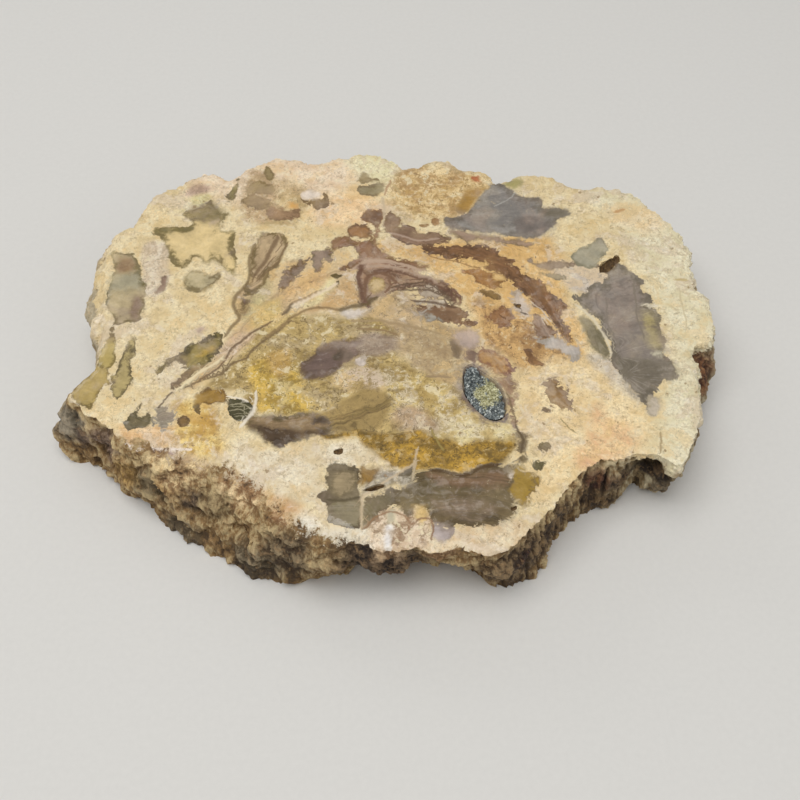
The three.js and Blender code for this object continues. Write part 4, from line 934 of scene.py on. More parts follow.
class BarkRelief:
    """The bark's relief: lumps, swellings, broken blocks, pebbles and upright fibres, with painted shade in
    its creases.
    """

    lumps = Pattern(7.0, 3, 1.3)
    swellings = Pattern(5.0, 3, 4.1)
    pebbles = Pattern(2.3, 3, 9.3)
    grain = Pattern(1.1, 3, 5.9)
    ribs = Pattern(1.25, 3, 2.7)
    crumbling = Pattern(11.0, 2, 7.7)
    rib_squeeze = 0.11  # of the height, so that ribs run upright
    block = 4.6  # size of a block, mm
    crumb = 1.9  # size of a crumb, mm
    block_warp = 0.7  # how far lumps, grain and ribs bend the blocks, mm
    lump_rise = 0.9  # these are heights in mm, or shares of a block's or crumb's own
    swelling_rise = 0.7
    block_rise = 1.15
    crumb_rise = 0.6
    pebble_rise = 0.4
    grain_rise = 0.36
    lump_calm = 0.4  # how much of the lumps the fibres take away, mm
    block_calm = 0.9  # how much of the blocks they take away
    facet_calm = 0.4  # how much smoother the facet at the left end is, with less painted shade
    base_shade = 0.72  # painted shade everywhere, before what stands out is lit
    # how much painted shade each raised thing takes away, as painted light
    swelling_lit = 0.6
    pebble_lit = 0.3
    block_lit = 0.25
    grain_lit = 0.2
    rib_lit = 0.9
    block_seam_shade = 0.22  # painted shade in the seams between blocks
    crumb_seam_shade = 0.14  # painted shade in the seams between crumbs
    foot_shade = 0.3  # painted shade near the base, darker towards the bottom

    def at(self, places: np.ndarray) -> tuple[np.ndarray, np.ndarray]:
        """The relief at points.

        Args:
            places: n rows of x, y, z, mm.

        Returns:
            the rise, mm, and how deep in a crease each point lies, 0 to 1, which sets the bark's painted
            shade.
        """
        fibrous = self.fibre_share(places)
        lumps = self.lumps.at(places)
        swelling = np.sqrt(np.abs(self.swellings.at(places)))
        pebbles = np.sqrt(np.abs(self.pebbles.at(places)))
        fine = self.grain.at(places)
        ribs = self.ribs.at(places * np.array((1, 1, self.rib_squeeze)))
        warped = places + self.block_warp * np.stack([lumps, fine, ribs], 1)
        coarse, coarse_edge = self.broken_faces(warped, self.block)
        crumbs, crumb_edge = self.broken_faces(warped, self.crumb)
        x, y = drawn(places)
        rough = 1 - self.facet_calm * smooth_step(-70, -76, x) * smooth_step(-26, -18, y)
        crumbly = (1 - fibrous) * smooth_step(-0.25, 0.35, self.crumbling.at(places))
        blocks = self.block_rise * coarse + self.swelling_rise * (swelling - 0.5)
        small = self.crumb_rise * crumbs + self.pebble_rise * (pebbles - 0.5)
        rise = (self.lump_rise - self.lump_calm * fibrous) * lumps + (1 - self.block_calm * fibrous) * blocks
        rise = rough * (rise + self.grain_rise * fine + crumbly * small + fibrous * ribs)
        # painted shade: low places and seams dark, what stands out lit
        crease = self.base_shade - self.swelling_lit * swelling - self.pebble_lit * pebbles
        crease = crease - self.block_lit * coarse - self.grain_lit * fine
        seams = self.block_seam_shade * coarse_edge + self.crumb_seam_shade * crumbly * crumb_edge
        crease += seams - self.rib_lit * fibrous * ribs
        # painted shade, darker towards the base
        crease += self.foot_shade * smooth_step(14, 1, places[:, 2])
        return rise, np.clip(rough * crease, 0, 1)

    @staticmethod
    def fibre_share(places: np.ndarray) -> np.ndarray:
        """Where the bark is upright fibres: the right front and the back, and little elsewhere.

        Args:
            places: n rows of x, y, z, mm.

        Returns:
            the fibres' share at each, 0 to 1.
        """
        x, y = drawn(places)
        middle, radius = (46, -52), 20
        inside = radius - np.hypot(x - middle[0], y - middle[1])
        right_front = smooth_step(-9, 2, inside) * smooth_step(26, 34, x)
        right = smooth_step(70, 80, x) * smooth_step(-44, -34, y)
        return np.clip(0.12 + 0.85 * right_front + 0.5 * right + 0.35 * smooth_step(30, 45, y), 0, 1)

    @staticmethod
    def broken_faces(places: np.ndarray, size: float) -> tuple[np.ndarray, np.ndarray]:
        """Angular broken rock: blocks, each with a flat face that leans its own way.

        Args:
            places: n rows of x, y, z, mm.
            size: of a block, mm.

        Returns:
            the rise, mm, and how near a block's border each point lies, 0 to 1.
        """
        middle, spread = Vector((0.5, 0.5, 0.5)), 7.3
        tilt, step, height = 1.5, 0.25, 0.5
        bevel, seam = 5.0, 6.0  # how soon a face takes over from its neighbour, and how thin the border is
        rises, borders = [], []
        for place in (places / size).tolist():
            at = Vector(place)
            distances, feet = noise.voronoi(at)
            levels = []
            for foot in feet[:2]:
                lean = noise.cell_vector(spread * foot) - middle
                levels.append(tilt * (at - foot).dot(lean) + step * lean.x)
            gap = distances[1] - distances[0]
            own = 0.5 + 0.5 * min(1.0, gap * bevel)
            rises.append(size * height * (own * levels[0] + (1 - own) * levels[1]))
            borders.append(1 - min(1.0, gap * seam))
        return np.array(rises), np.array(borders)


@dataclass
class StoneSlice:
    """The whole stone: its face, bark wall, base, pits and hollow as one closed mesh."""

    columns: int = 1120  # points round the wall
    rows: int = 44  # points down the wall
    row_crowding: float = 1.12  # above 1, rows lie closer near the face
    face_step: float = 0.8  # between points of the face, mm
    face_clearance: float = 0.33  # from them to its edge, mm
    base_step: float = 2.0  # between points of the base, mm
    base_clearance: float = 0.6  # from them to its edge, mm
    scatter: float = 0.18  # of a step, how far those points stray
    inset: float = 12.0  # how far inside the edge the wall is felt for from, mm
    reach: float = 13.0  # how far outside the edge it is felt for, mm
    edge_blur: float = 0.9  # of the face's edge, mm
    outward_blur: float = 6.0  # of the direction in which the wall is felt, mm
    wall_blur: float = 1.1  # of the wall along its rows, mm
    row_blur: float = 0.9  # of the wall from row to row, rows
    lip_blur: float = 0.6  # of the two rows below the edge, rows
    lip: float = 2.2  # how deep below the face the relief is full, mm
    lip_relief: float = 0.55  # share of the relief at the edge itself
    back_lip_relief: float = 0.85  # the same at the back
    back_from: float = 20.0  # the back's first y, mm
    sink: float = 8.0  # how deep below the face a chipped edge still lowers the wall, mm
    margin: float = 0.05  # between the wall's points and the two sawn faces, mm
    chips: Pattern = Pattern(3.0, 3, 6.4)
    relief: BarkRelief = BarkRelief()
    hollow: tuple[float, float] = (27, -19)  # the hollow's middle, in the drawing, mm
    hollow_radius: float = 13.0  # round all of it and no other pit, mm
    name: str = "stone_slice"
    frame_points: np.ndarray = field(init=False)  # the frame's own, mm
    frame_triangles: np.ndarray = field(init=False)
    tree: BVHTree = field(init=False)
    edge_loop: list[int] = field(init=False)  # the polished face's edge
    inner_loops: list[list[int]] = field(init=False)  # the edges of its pits and hollow
    pit_triangles: np.ndarray = field(init=False)
    wall: np.ndarray = field(init=False)  # rows by columns by x, y, z, mm
    crease: np.ndarray = field(init=False)  # of the wall, and then of the face: how much painted shade each point gets
    rim_distance: np.ndarray = field(init=False)  # from the face's points to its edge, mm
    face_end: int = field(init=False)  # the number of the first point past the face
    base_start: int = field(init=False)  # and of the base's first point
    places: np.ndarray = field(init=False)  # every point, mm
    faces: list[list[int]] = field(init=False)
    kinds: list[int] = field(init=False)  # each face's finish

    def read_frame(self) -> None:
        """Reads the frame's stone: its edge on the face, and the walls of its pits and hollow."""
        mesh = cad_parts["petrified_wood_slice"].data
        mesh.calc_loop_triangles()
        raw = np.empty(len(mesh.vertices) * 3)
        mesh.vertices.foreach_get("co", raw)
        raw = raw.reshape(-1, 3) / MM
        triangles = np.empty(len(mesh.loop_triangles) * 3, int)
        mesh.loop_triangles.foreach_get("vertices", triangles)
        _, first, number = np.unique(np.round(raw, 3), axis=0, return_index=True, return_inverse=True)
        self.frame_points = raw[first]
        self.frame_triangles = number.reshape(-1)[triangles].reshape(-1, 3)
        self.tree = BVHTree.FromPolygons(self.frame_points.tolist(), self.frame_triangles.tolist())

        heights = self.frame_points[self.frame_triangles][:, :, 2]
        on_face = (heights > THICKNESS - 1e-3).all(1)
        on_base = (heights < 1e-3).all(1)
        sides = set()
        for a, b, c in self.frame_triangles[on_face].tolist():
            sides |= {(a, b), (b, c), (c, a)}
        loops = loops_of([(a, b) for a, b in sides if (b, a) not in sides])
        loops.sort(key=lambda loop: -abs(loop_area(self.frame_points[loop, :2])))
        self.edge_loop, self.inner_loops = loops[0], loops[1:]

        rest = self.frame_triangles[~on_face & ~on_base]
        group = np.arange(len(self.frame_points))
        changed = True
        while changed:
            low = group[rest].min(1)
            before = group.copy()
            for corner in range(3):
                np.minimum.at(group, rest[:, corner], low)
            group = group[group]
            changed = bool((before != group).any())
        wall_group = group[self.edge_loop[0]]
        self.pit_triangles = rest[group[rest[:, 0]] != wall_group]

    def shape_wall(self) -> None:
        """Feels the frame's wall row by row and lays crumbly relief over it."""
        edge = self.frame_points[self.edge_loop, :2]
        closed = np.vstack([edge, edge[:1]])
        run = np.concatenate([[0], np.cumsum(np.linalg.norm(np.diff(closed, axis=0), axis=1))])
        at = np.linspace(0, run[-1], self.columns, endpoint=False)
        edge = np.stack([np.interp(at, run, closed[:, k]) for k in range(2)], 1)
        step = run[-1] / self.columns
        edge = blurred(edge, self.edge_blur / step, 0, True)
        wide = blurred(edge, self.outward_blur / step, 0, True)
        tangent = np.roll(wide, -1, 0) - np.roll(wide, 1, 0)
        outward = np.stack([tangent[:, 1], -tangent[:, 0]], 1)
        outward /= np.linalg.norm(outward, axis=1)[:, None]
        depths = THICKNESS * np.linspace(0, 1, self.rows) ** self.row_crowding
        reach = np.zeros((self.rows, self.columns))
        reach[0] = self.inset
        for r in range(1, self.rows):
            height = THICKNESS - min(depths[r], THICKNESS - 0.02)
            for c in range(self.columns):
                reach[r, c] = self.feel(edge[c], outward[c], height, reach[r - 1, c])
        smooth = blurred(blurred(reach, self.wall_blur / step, 1, True), self.row_blur, 0, False)
        smooth[0] = self.inset
        smooth[1:3] = blurred(smooth, self.lip_blur, 0, False)[1:3]
        grid = np.empty((self.rows, self.columns, 3))
        grid[..., :2] = edge[None] + (smooth - self.inset)[..., None] * outward[None]
        grid[..., 2] = (THICKNESS - depths)[:, None]
        self.relieve(grid, outward)

    def feel(self, at: np.ndarray, outward: np.ndarray, height: float, last: float) -> float:
        """How far out the frame's wall lies.

        Args:
            at: the edge's point above it, mm.
            outward: the direction to feel in.
            height: the height, mm.
            last: what was found one row higher.

        Returns:
            the distance from inset inside the edge, mm.
        """
        most_walls = 6  # an undercut wall is met more than once
        past = 1e-3  # how far past one the feeling goes on, mm
        direction = Vector((outward[0], outward[1], 0))
        origin = Vector((at[0], at[1], height)) - self.inset * direction
        gone, found = 0.0, []
        for _ in range(most_walls):
            hit, normal, _, distance = self.tree.ray_cast(origin, direction)
            if hit is None or gone + distance > self.inset + self.reach:
                break
            gone += distance
            if normal.dot(direction) > 0:
                found.append(gone)
            origin = hit + past * direction
            gone += past
        return min(found, key=lambda d: abs(d - last)) if found else last

    def relieve(self, grid: np.ndarray, outward: np.ndarray) -> None:
        """Moves the wall's points in and out by the bark's relief.

        Args:
            grid: the wall's points, rows by columns by x, y, z, mm.
            outward: each column's way out.
        """
        down = np.zeros_like(grid)
        down[1:-1] = grid[2:] - grid[:-2]
        down[0], down[-1] = grid[1] - grid[0], grid[-1] - grid[-2]
        along = np.roll(grid, -1, 1) - np.roll(grid, 1, 1)
        normal = np.cross(down, along)
        normal /= np.maximum(np.linalg.norm(normal, axis=2), 1e-9)[..., None]
        if (normal[..., :2] * outward[None]).sum() < 0:
            normal = -normal
        normal[0] = normal[-1] = np.pad(outward, ((0, 0), (0, 1)))
        rise, crease = self.relief.at(grid.reshape(-1, 3))
        depth = THICKNESS - grid[..., 2]
        at_edge = np.where(grid[..., 1] > self.back_from, self.back_lip_relief, self.lip_relief)
        rise = rise.reshape(grid.shape[:2]) * (at_edge + (1 - at_edge) * smooth_step(0.0, self.lip, depth))
        moved = grid + rise[..., None] * normal
        moved[1:-1, :, 2] = np.clip(moved[1:-1, :, 2], self.margin, THICKNESS - self.margin)
        low, high = np.array(cad_low) / MM, np.array(cad_high) / MM
        moved[..., :2] = np.clip(moved[..., :2], low[:2] + 0.01, high[:2] - 0.01)
        drop, _ = self.chipping(moved[0, :, :2])
        moved[..., 2] -= drop[None] * np.clip(1 - (THICKNESS - moved[..., 2]) / self.sink, 0, 1)
        self.wall = moved
        self.crease = crease

    def chipping(self, flat: np.ndarray) -> tuple[np.ndarray, np.ndarray]:
        """How the polished face is worn away beside its edge, most of all at the left front.

        Args:
            flat: n rows of x, y, mm.

        Returns:
            how much lower the edge lies, and how far in from the edge the wear reaches, both mm.
        """
        x, y = drawn(flat)
        crumbled = smooth_step(-72, -60, x) * smooth_step(-2, -14, x) * smooth_step(-22, -34, y)
        front = smooth_step(-16, -4, x) * smooth_step(40, 30, x) * smooth_step(-50, -58, y)
        uneven = 1 + 0.9 * self.chips.at(np.column_stack([flat, np.zeros(len(flat))]))
        drop = (0.3 + 1.5 * crumbled + 0.3 * front) * np.clip(uneven, 0.1, 2)
        return drop, 1.4 + 6.8 * crumbled + 0.6 * front

    def fill(self, loops: list[np.ndarray], step: float, clearance: float) -> tuple[np.ndarray, np.ndarray]:
        """Triangles between an outer loop and the loops of its holes.

        Args:
            loops: the outer loop's x, y rows first, then each hole's.
            step: between the points in the middle, mm.
            clearance: how close a middle point may come to a loop, mm.

        Returns:
            every point, the loops' own first, and the triangles.
        """
        outer = loops[0]
        low, high = outer.min(0), outer.max(0)
        xs = np.arange(low[0], high[0], step)
        ys = np.arange(low[1], high[1], step * math.sqrt(0.75))
        x, y = np.meshgrid(xs, ys)
        x = x + 0.5 * step * (np.arange(len(ys)) % 2)[:, None]
        middle = np.stack([x.ravel(), y.ravel()], 1)
        stray = self.scatter * step
        middle += np.random.default_rng(7).uniform(-stray, stray, middle.shape)
        parts = np.array_split(middle, 60)
        middle = middle[np.concatenate([inside_depth(part, outer) > clearance for part in parts])]
        for hole in loops[1:]:
            middle = middle[inside_depth(middle, hole) < -clearance]
        points = np.vstack([*loops, middle])
        edges, start = [], 0
        for loop in loops:
            n = len(loop)
            edges += [(start + i, start + (i + 1) % n) for i in range(n)]
            start += n
        corners = [Vector(p) for p in points.tolist()]
        found, _, triangles, origin, _, _ = geometry.delaunay_2d_cdt(corners, edges, [], 1, 1e-7)
        if len(found) != len(points):
            log.warning("the fill added or merged points: %d for %d", len(found), len(points))
        order = np.array([o[0] if o else -1 for o in origin])
        triangles = np.array(triangles)
        centres = np.array([tuple(p) for p in found])[triangles].mean(1)
        keep = np.ones(len(triangles), bool)
        for hole in loops[1:]:
            keep &= inside_depth(centres, hole) < 0
        return points, order[triangles[keep]]

    def assemble(self) -> None:
        """Joins wall, face, pits and base into one list of points and faces."""
        rows, columns = self.rows, self.columns
        wall = self.wall.reshape(-1, 3)
        c, r = np.meshgrid(np.arange(columns), np.arange(rows - 1) * columns)
        d = (c + 1) % columns
        quads = np.stack([r + c, r + columns + c, r + columns + d, r + d], 2)
        faces = quads.reshape(-1, 4).tolist()

        holes = [self.frame_points[loop, :2] for loop in self.inner_loops]
        flat, triangles = self.fill([self.wall[0, :, :2], *holes], self.face_step, self.face_clearance)
        number = np.arange(len(flat))
        number[columns:] += len(wall) - columns
        faces += number[triangles].tolist()
        top = self.worn_face(flat, columns + sum(len(loop) for loop in self.inner_loops))
        self.face_end = len(wall) + len(top)

        rim = [point for loop in self.inner_loops for point in loop]
        inner = sorted(set(self.pit_triangles.ravel().tolist()) - set(rim))
        numbers = {point: len(wall) + i for i, point in enumerate(rim)}
        numbers |= {point: self.face_end + i for i, point in enumerate(inner)}
        faces += [[numbers[p] for p in triangle] for triangle in self.pit_triangles.tolist()]
        self.base_start = self.face_end + len(inner)
        self.kinds = [0] * len(faces)

        flat, triangles = self.fill([self.wall[-1, :, :2]], self.base_step, self.base_clearance)
        number = np.arange(len(flat))
        number = np.where(number < columns, number + len(wall) - columns, number + self.base_start - columns)
        faces += number[triangles][:, ::-1].tolist()
        self.kinds += [1] * len(triangles)
        base = np.column_stack([flat[columns:], np.zeros(len(flat) - columns)])
        self.places = np.vstack([wall, top, self.frame_points[inner], base])
        self.faces = faces

    def worn_face(self, flat: np.ndarray, loops_end: int) -> np.ndarray:
        """Lowers the polished face's points beside its chipped edge.

        Args:
            flat: rows of x, y, mm: first the wall's top row, then the holes' loops, then the rest.
            loops_end: the number of the first point of that rest.

        Returns:
            the points that aren't the wall's own, rows of x, y, z, mm.
        """
        tree = KDTree(self.columns)
        for c, point in enumerate(self.wall[0].tolist()):
            tree.insert((point[0], point[1], 0), c)
        tree.balance()
        self.rim_distance = np.array([tree.find((x, y, 0))[2] for x, y in flat.tolist()])
        top = np.column_stack([flat, np.full(len(flat), THICKNESS)])
        drop, reach = self.chipping(flat)
        drop[self.columns : loops_end] = 0
        nearness = np.clip(1 - self.rim_distance / reach, 0, 1)
        rise, crease = self.relief.at(top)
        crumbling = 0.5 * nearness * smooth_step(2, 6, reach) * np.clip(0.5 - rise, 0, 2)
        crumbling[: self.columns] = 0
        top[:, 2] -= drop * nearness**1.6 + crumbling
        self.crease = np.concatenate([self.crease, crease[self.columns :]])
        return top[self.columns :]

    def make(self) -> bpy.types.Object:
        """Builds the mesh object with every attribute that its finishes read.

        Returns:
            the object, in place.
        """
        self.read_frame()
        self.shape_wall()
        self.assemble()
        mesh = bpy.data.meshes.new(self.name)
        mesh.from_pydata((self.places * MM).tolist(), [], self.faces)
        mesh.polygons.foreach_set("material_index", self.kinds)
        drawing = Drawing(self.places)
        values = drawing.ground()
        values |= drawing.patches(PATCHES, Layer.PATCH.value)
        values |= drawing.patches(INLAYS, Layer.INLAY.value)
        values |= drawing.lines()
        values["flow"] = drawing.flow()
        values |= drawing.bark()
        values["wear"] = self.wear()
        # painted shade in the pits, darker the deeper they go
        pit_shade = np.clip(0.7 + 0.12 * (THICKNESS - self.places[:, 2]), 0, 1.1)
        values["crease"] = np.concatenate([self.crease, pit_shade[self.face_end :]])
        for name, value in values.items():
            self.write_attribute(mesh, name, value)
        mesh.update()
        return add_object(self.name, mesh)

    def wear(self) -> np.ndarray:
        """Where bark shows and no polished face: 0 on the face, 1 down the wall and in pits."""
        x, y = drawn(self.places)
        depth = THICKNESS - self.places[:, 2]
        right = smooth_step(58, 70, x) * smooth_step(-46, -40, y)
        left = smooth_step(-70, -76, x) * smooth_step(-20, -10, y)
        reach = 1.0 + 6.0 * right + 4.0 * left + 3.0 * smooth_step(20, 40, y)
        worn = smooth_step(0.15, 1.0, depth / reach)
        face = slice(self.columns * self.rows, self.face_end)
        _, width = self.chipping(self.places[face, :2])
        near_edge = np.clip(1 - self.rim_distance[self.columns :] / width, 0, 1)
        worn[face] = 0.75 * near_edge * smooth_step(2, 6, width)
        pits = slice(self.face_end, self.base_start)
        away = np.hypot(x[pits] - self.hollow[0], y[pits] - self.hollow[1])
        worn[pits] = np.where(away < self.hollow_radius, 0.0, 1.0)
        return worn

    @staticmethod
    def write_attribute(mesh: bpy.types.Mesh, name: str, value: np.ndarray) -> None:
        """Writes one number, vector or colour for each point of a mesh.

        Args:
            mesh: the mesh.
            name: the attribute's name.
            value: one number for each point, or a row of three or four.
        """
        width = value.size // len(value)
        kind, key = {1: ("FLOAT", "value"), 3: ("FLOAT_VECTOR", "vector"), 4: ("FLOAT_COLOR", "color")}[width]
        mesh.attributes.new(name, kind, "POINT").data.foreach_set(key, value.ravel())


@dataclass
class CrystalCrust:
    """The hollow's lining: the frame's bed of coarse facets, overgrown with small pointed crystals."""

    count: int = 1500
    seed: int = 11
    radius: tuple[float, float] = (0.11, 0.34)  # mm
    slimmest: float = 0.6  # share of its radius that a crystal keeps at least
    length: tuple[float, float] = (0.35, 1.1)  # mm
    tip: float = 1.28  # a point's height for each mm of radius
    upright: float = 0.6  # how far a crystal turns from the bed's direction to straight up
    lean: float = 0.35  # how far it may lean from that
    sunk: float = 0.4  # how deep its foot goes into the bed, mm
    steepest: float = 0.1  # a facet whose normal rises less than this bears no crystals
    golden_at: tuple[float, float] = (26.4, -19.6)  # the middle of its greenish gold part, mm
    golden_squeeze: float = 0.75  # of that part's length, to its width
    golden_edge: tuple[float, float] = (4.6, 1.6)  # where the gold starts and where it is full, mm
    name: str = "quartz_crystals"

    def make(self) -> bpy.types.Object:
        """Builds the crust as one object, its points each tagged with their crystal's tint.

        Returns:
            the object, in place.
        """
        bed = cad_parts["crystal_crust"].data
        bed.calc_loop_triangles()
        points = [v.co / MM for v in bed.vertices]
        low = np.min([tuple(p) for p in points], 0)
        high = np.max([tuple(p) for p in points], 0)
        faces = [tuple(t.vertices) for t in bed.loop_triangles]
        open_faces = [t for t in bed.loop_triangles if t.normal.z > self.steepest]
        area = np.array([t.area for t in open_faces])
        rng = np.random.default_rng(self.seed)
        tints = [0.5] * len(points)
        for index in rng.choice(len(open_faces), self.count, p=area / area.sum()):
            triangle = open_faces[index]
            a, b, c = [points[v] for v in triangle.vertices]
            u, v = rng.random(2).tolist()
            u, v = (1 - u, 1 - v) if u + v > 1 else (u, v)
            lean = Vector(rng.normal(0, self.lean, 3).tolist())
            axis = (triangle.normal + Vector((0, 0, self.upright)) + lean).normalized()
            radius = float(rng.uniform(*self.radius) * rng.uniform(self.slimmest, 1.0))
            length = float(rng.uniform(*self.length))
            foot = a + u * (b - a) + v * (c - a) - self.sunk * axis
            tint = float(rng.random())
            start = len(points)
            crystal, sides = self.crystal(foot, axis, radius, length, float(rng.uniform(0, math.pi)))
            points += crystal
            faces += [tuple(start + k for k in side) for side in sides]
            tints += [tint] * len(crystal)
        inside = np.clip([tuple(p) for p in points], low, high)
        mesh = bpy.data.meshes.new(self.name)
        mesh.from_pydata((inside * MM).tolist(), [], faces)
        StoneSlice.write_attribute(mesh, "tint", np.array(tints))
        x, y = inside[:, 0] - self.golden_at[0], inside[:, 1] - self.golden_at[1]
        golden = smooth_step(*self.golden_edge, np.hypot(x, self.golden_squeeze * y))
        StoneSlice.write_attribute(mesh, "golden", golden)
        mesh.update()
        return add_object(self.name, mesh)

    def crystal(
        self, foot: Vector, axis: Vector, radius: float, length: float, turn: float
    ) -> tuple[list[Vector], list[tuple[int, ...]]]:
        """One six-sided crystal with a point.

        Args:
            foot: the middle of its foot, mm.
            axis: its direction.
            radius: of its prism, mm.
            length: of its prism, mm.
            turn: about its axis, radians.

        Returns:
            its points and its faces.
        """
        across = axis.orthogonal().normalized()
        up = axis.cross(across)
        points = []
        for height in (0.0, length):
            for k in range(6):
                angle = turn + k * math.pi / 3
                spoke = math.cos(angle) * across + math.sin(angle) * up
                points.append(foot + height * axis + radius * spoke)
        points.append(foot + (length + self.tip * radius) * axis)
        sides = [(k, (k + 1) % 6, 6 + (k + 1) % 6, 6 + k) for k in range(6)]
        sides += [(6 + k, 6 + (k + 1) % 6, 12) for k in range(6)]
        sides.append((5, 4, 3, 2, 1, 0))
        return points, sides


# ---- Finishes ----


@dataclass(frozen=True)
class Span:
    """Two values of a pattern, and what it is turned to at each of them and evenly between."""

    start: float
    end: float
    at_start: float = 0.0
    at_end: float = 1.0


def put(
    tree: bpy.types.NodeTree,
    kind: str,
    inputs: dict[int | str, Value | Colour | str] | None = None,
    stops: list[tuple[float, str]] | None = None,
    **settings: str,
) -> bpy.types.Node:
    """Adds a node with its settings and links.

    Args:
        tree: the node tree it goes in.
        kind: the node's type.
        inputs: input name or number to a value, a hex colour, or an output that is linked to it.
        stops: a colour ramp's (position, hex colour) pairs.
        settings: the node's own properties.

    Returns:
        the node.
    """
    node = tree.nodes.new(kind)
    for name, value in settings.items():
        setattr(node, name, value)
    for key, value in (inputs or {}).items():
        if isinstance(value, Socket):
            tree.links.new(value, node.inputs[key])
        else:
            node.inputs[key].default_value = linear(value) if isinstance(value, str) else value
    for i, (position, colour) in enumerate(stops or []):
        element = node.color_ramp.elements[i] if i < 2 else node.color_ramp.elements.new(position)
        element.position = position
        element.color = linear(colour)
    return node


class Recipe:
    """A material's node tree, with the few patterns and sums that every finish uses, in mm."""

    name = "finish"
    MIDDLE = 0.5  # a noise's middle value

    def __init__(self) -> None:
        """Starts an empty material."""
        self.material = bpy.data.materials.new(self.name)
        self.material.use_nodes = True
        self.tree = self.material.node_tree
        self.tree.nodes.clear()
        self.shader = put(self.tree, "ShaderNodeBsdfPrincipled")
        put(self.tree, "ShaderNodeOutputMaterial", {"Surface": self.shader.outputs[0]})
        here = put(self.tree, "ShaderNodeTexCoord").outputs["Object"]
        scaled = put(self.tree, "ShaderNodeVectorMath", {0: here, "Scale": 1 / MM}, operation="SCALE")
        self.mm = scaled.outputs[0]

    def noise(
        self,
        size: float,
        detail: float = 3.0,
        rough: float = 0.55,
        place: Socket | None = None,
        twist: float = 0.0,
    ) -> Socket:
        """Noise, about 0.3 to 0.7.

        Args:
            size: its features' size, mm.
            detail: how many finer scales are added.
            rough: how strong those are.
            place: where it is read, the object's own millimetres unless given.
            twist: how far it is distorted.

        Returns:
            the output.
        """
        inputs = {
            "Vector": place or self.mm,
            "Scale": 1 / size,
            "Detail": detail,
            "Roughness": rough,
            "Distortion": twist,
        }
        return put(self.tree, "ShaderNodeTexNoise", inputs).outputs["Fac"]

    def attribute(self, name: str, output: str = "Fac") -> Socket:
        """One of the mesh's attributes."""
        return put(self.tree, "ShaderNodeAttribute", attribute_name=name).outputs[output]

    def tone(self, name: str) -> Socket:
        """One of the mesh's attributes, as a colour."""
        return self.attribute(name, "Color")

    def ranged(self, value: Value, span: Span) -> Socket:
        """A number taken from one range to another, with soft ends."""
        ends = {"From Min": span.start, "From Max": span.end, "To Min": span.at_start, "To Max": span.at_end}
        inputs = {"Value": value} | ends
        return put(self.tree, "ShaderNodeMapRange", inputs, interpolation_type="SMOOTHSTEP").outputs[0]

    def maths(self, operation: str, a: Value, b: Value = 0.0, c: Value = 0.0) -> Socket:
        """One sum on numbers."""
        return put(self.tree, "ShaderNodeMath", {0: a, 1: b, 2: c}, operation=operation).outputs[0]

    def times(self, a: Value, b: Value) -> Socket:
        """The product of two numbers."""
        return self.maths("MULTIPLY", a, b)

    def weighed(self, a: Socket, a_share: float, b: Socket, b_share: float) -> Socket:
        """The sum of two patterns, each times its share."""
        return self.maths("MULTIPLY_ADD", a, a_share, self.times(b, b_share))

    def off_middle(self, pattern: Socket) -> Socket:
        """How far a pattern is from its middle, so that 0 draws a thin line."""
        return self.maths("ABSOLUTE", self.maths("SUBTRACT", pattern, self.MIDDLE))

    def swung(self, base: Value, *swings: tuple[Socket, Value]) -> Value:
        """A number moved up and down by patterns.

        Args:
            base: the number.
            swings: each pattern, and how far it moves the number.

        Returns:
            the moved number.
        """
        for pattern, amount in swings:
            base = self.maths("MULTIPLY_ADD", self.maths("SUBTRACT", pattern, self.MIDDLE), amount, base)
        return base

    def mixed(self, share: Value, a: Socket | str, b: Socket | str, blend: str = "MIX") -> Socket:
        """Two colours mixed."""
        inputs = {0: share, 6: a, 7: b}
        return put(self.tree, "ShaderNodeMix", inputs, data_type="RGBA", blend_type=blend).outputs[2]

    def between(self, share: Value, a: Value, b: Value) -> Socket:
        """Two numbers mixed."""
        return put(self.tree, "ShaderNodeMix", {0: share, 2: a, 3: b}, data_type="FLOAT").outputs[0]

    def shaded(self, colour: Socket, factor: Value) -> Socket:
        """A colour made lighter or darker."""
        grey = put(self.tree, "ShaderNodeCombineXYZ", {0: factor, 1: factor, 2: factor}).outputs[0]
        return self.mixed(1.0, colour, grey, "MULTIPLY")

    def finish(self, ior: float | None = None, **outputs: Socket) -> bpy.types.Material:
        """Links the shader's inputs and gives the material.

        Args:
            ior: the refractive index, where it differs from the shader's own.
            outputs: input name, with _ for a space, to what is linked to it.

        Returns:
            the material.
        """
        for name, output in outputs.items():
            self.tree.links.new(output, self.shader.inputs[name.replace("_", " ")])
        if ior:
            self.shader.inputs["IOR"].default_value = ior
        return self.material


@dataclass(frozen=True)
class Patterns:
    """The noises that all parts of the stone's finish share."""

    streak: Socket  # fine, along the grain
    band: Socket  # broad, along the grain
    blotch: Socket
    fleck: Socket
    cloud: Socket
    drift: Socket
    granule: Socket
    jag: Socket


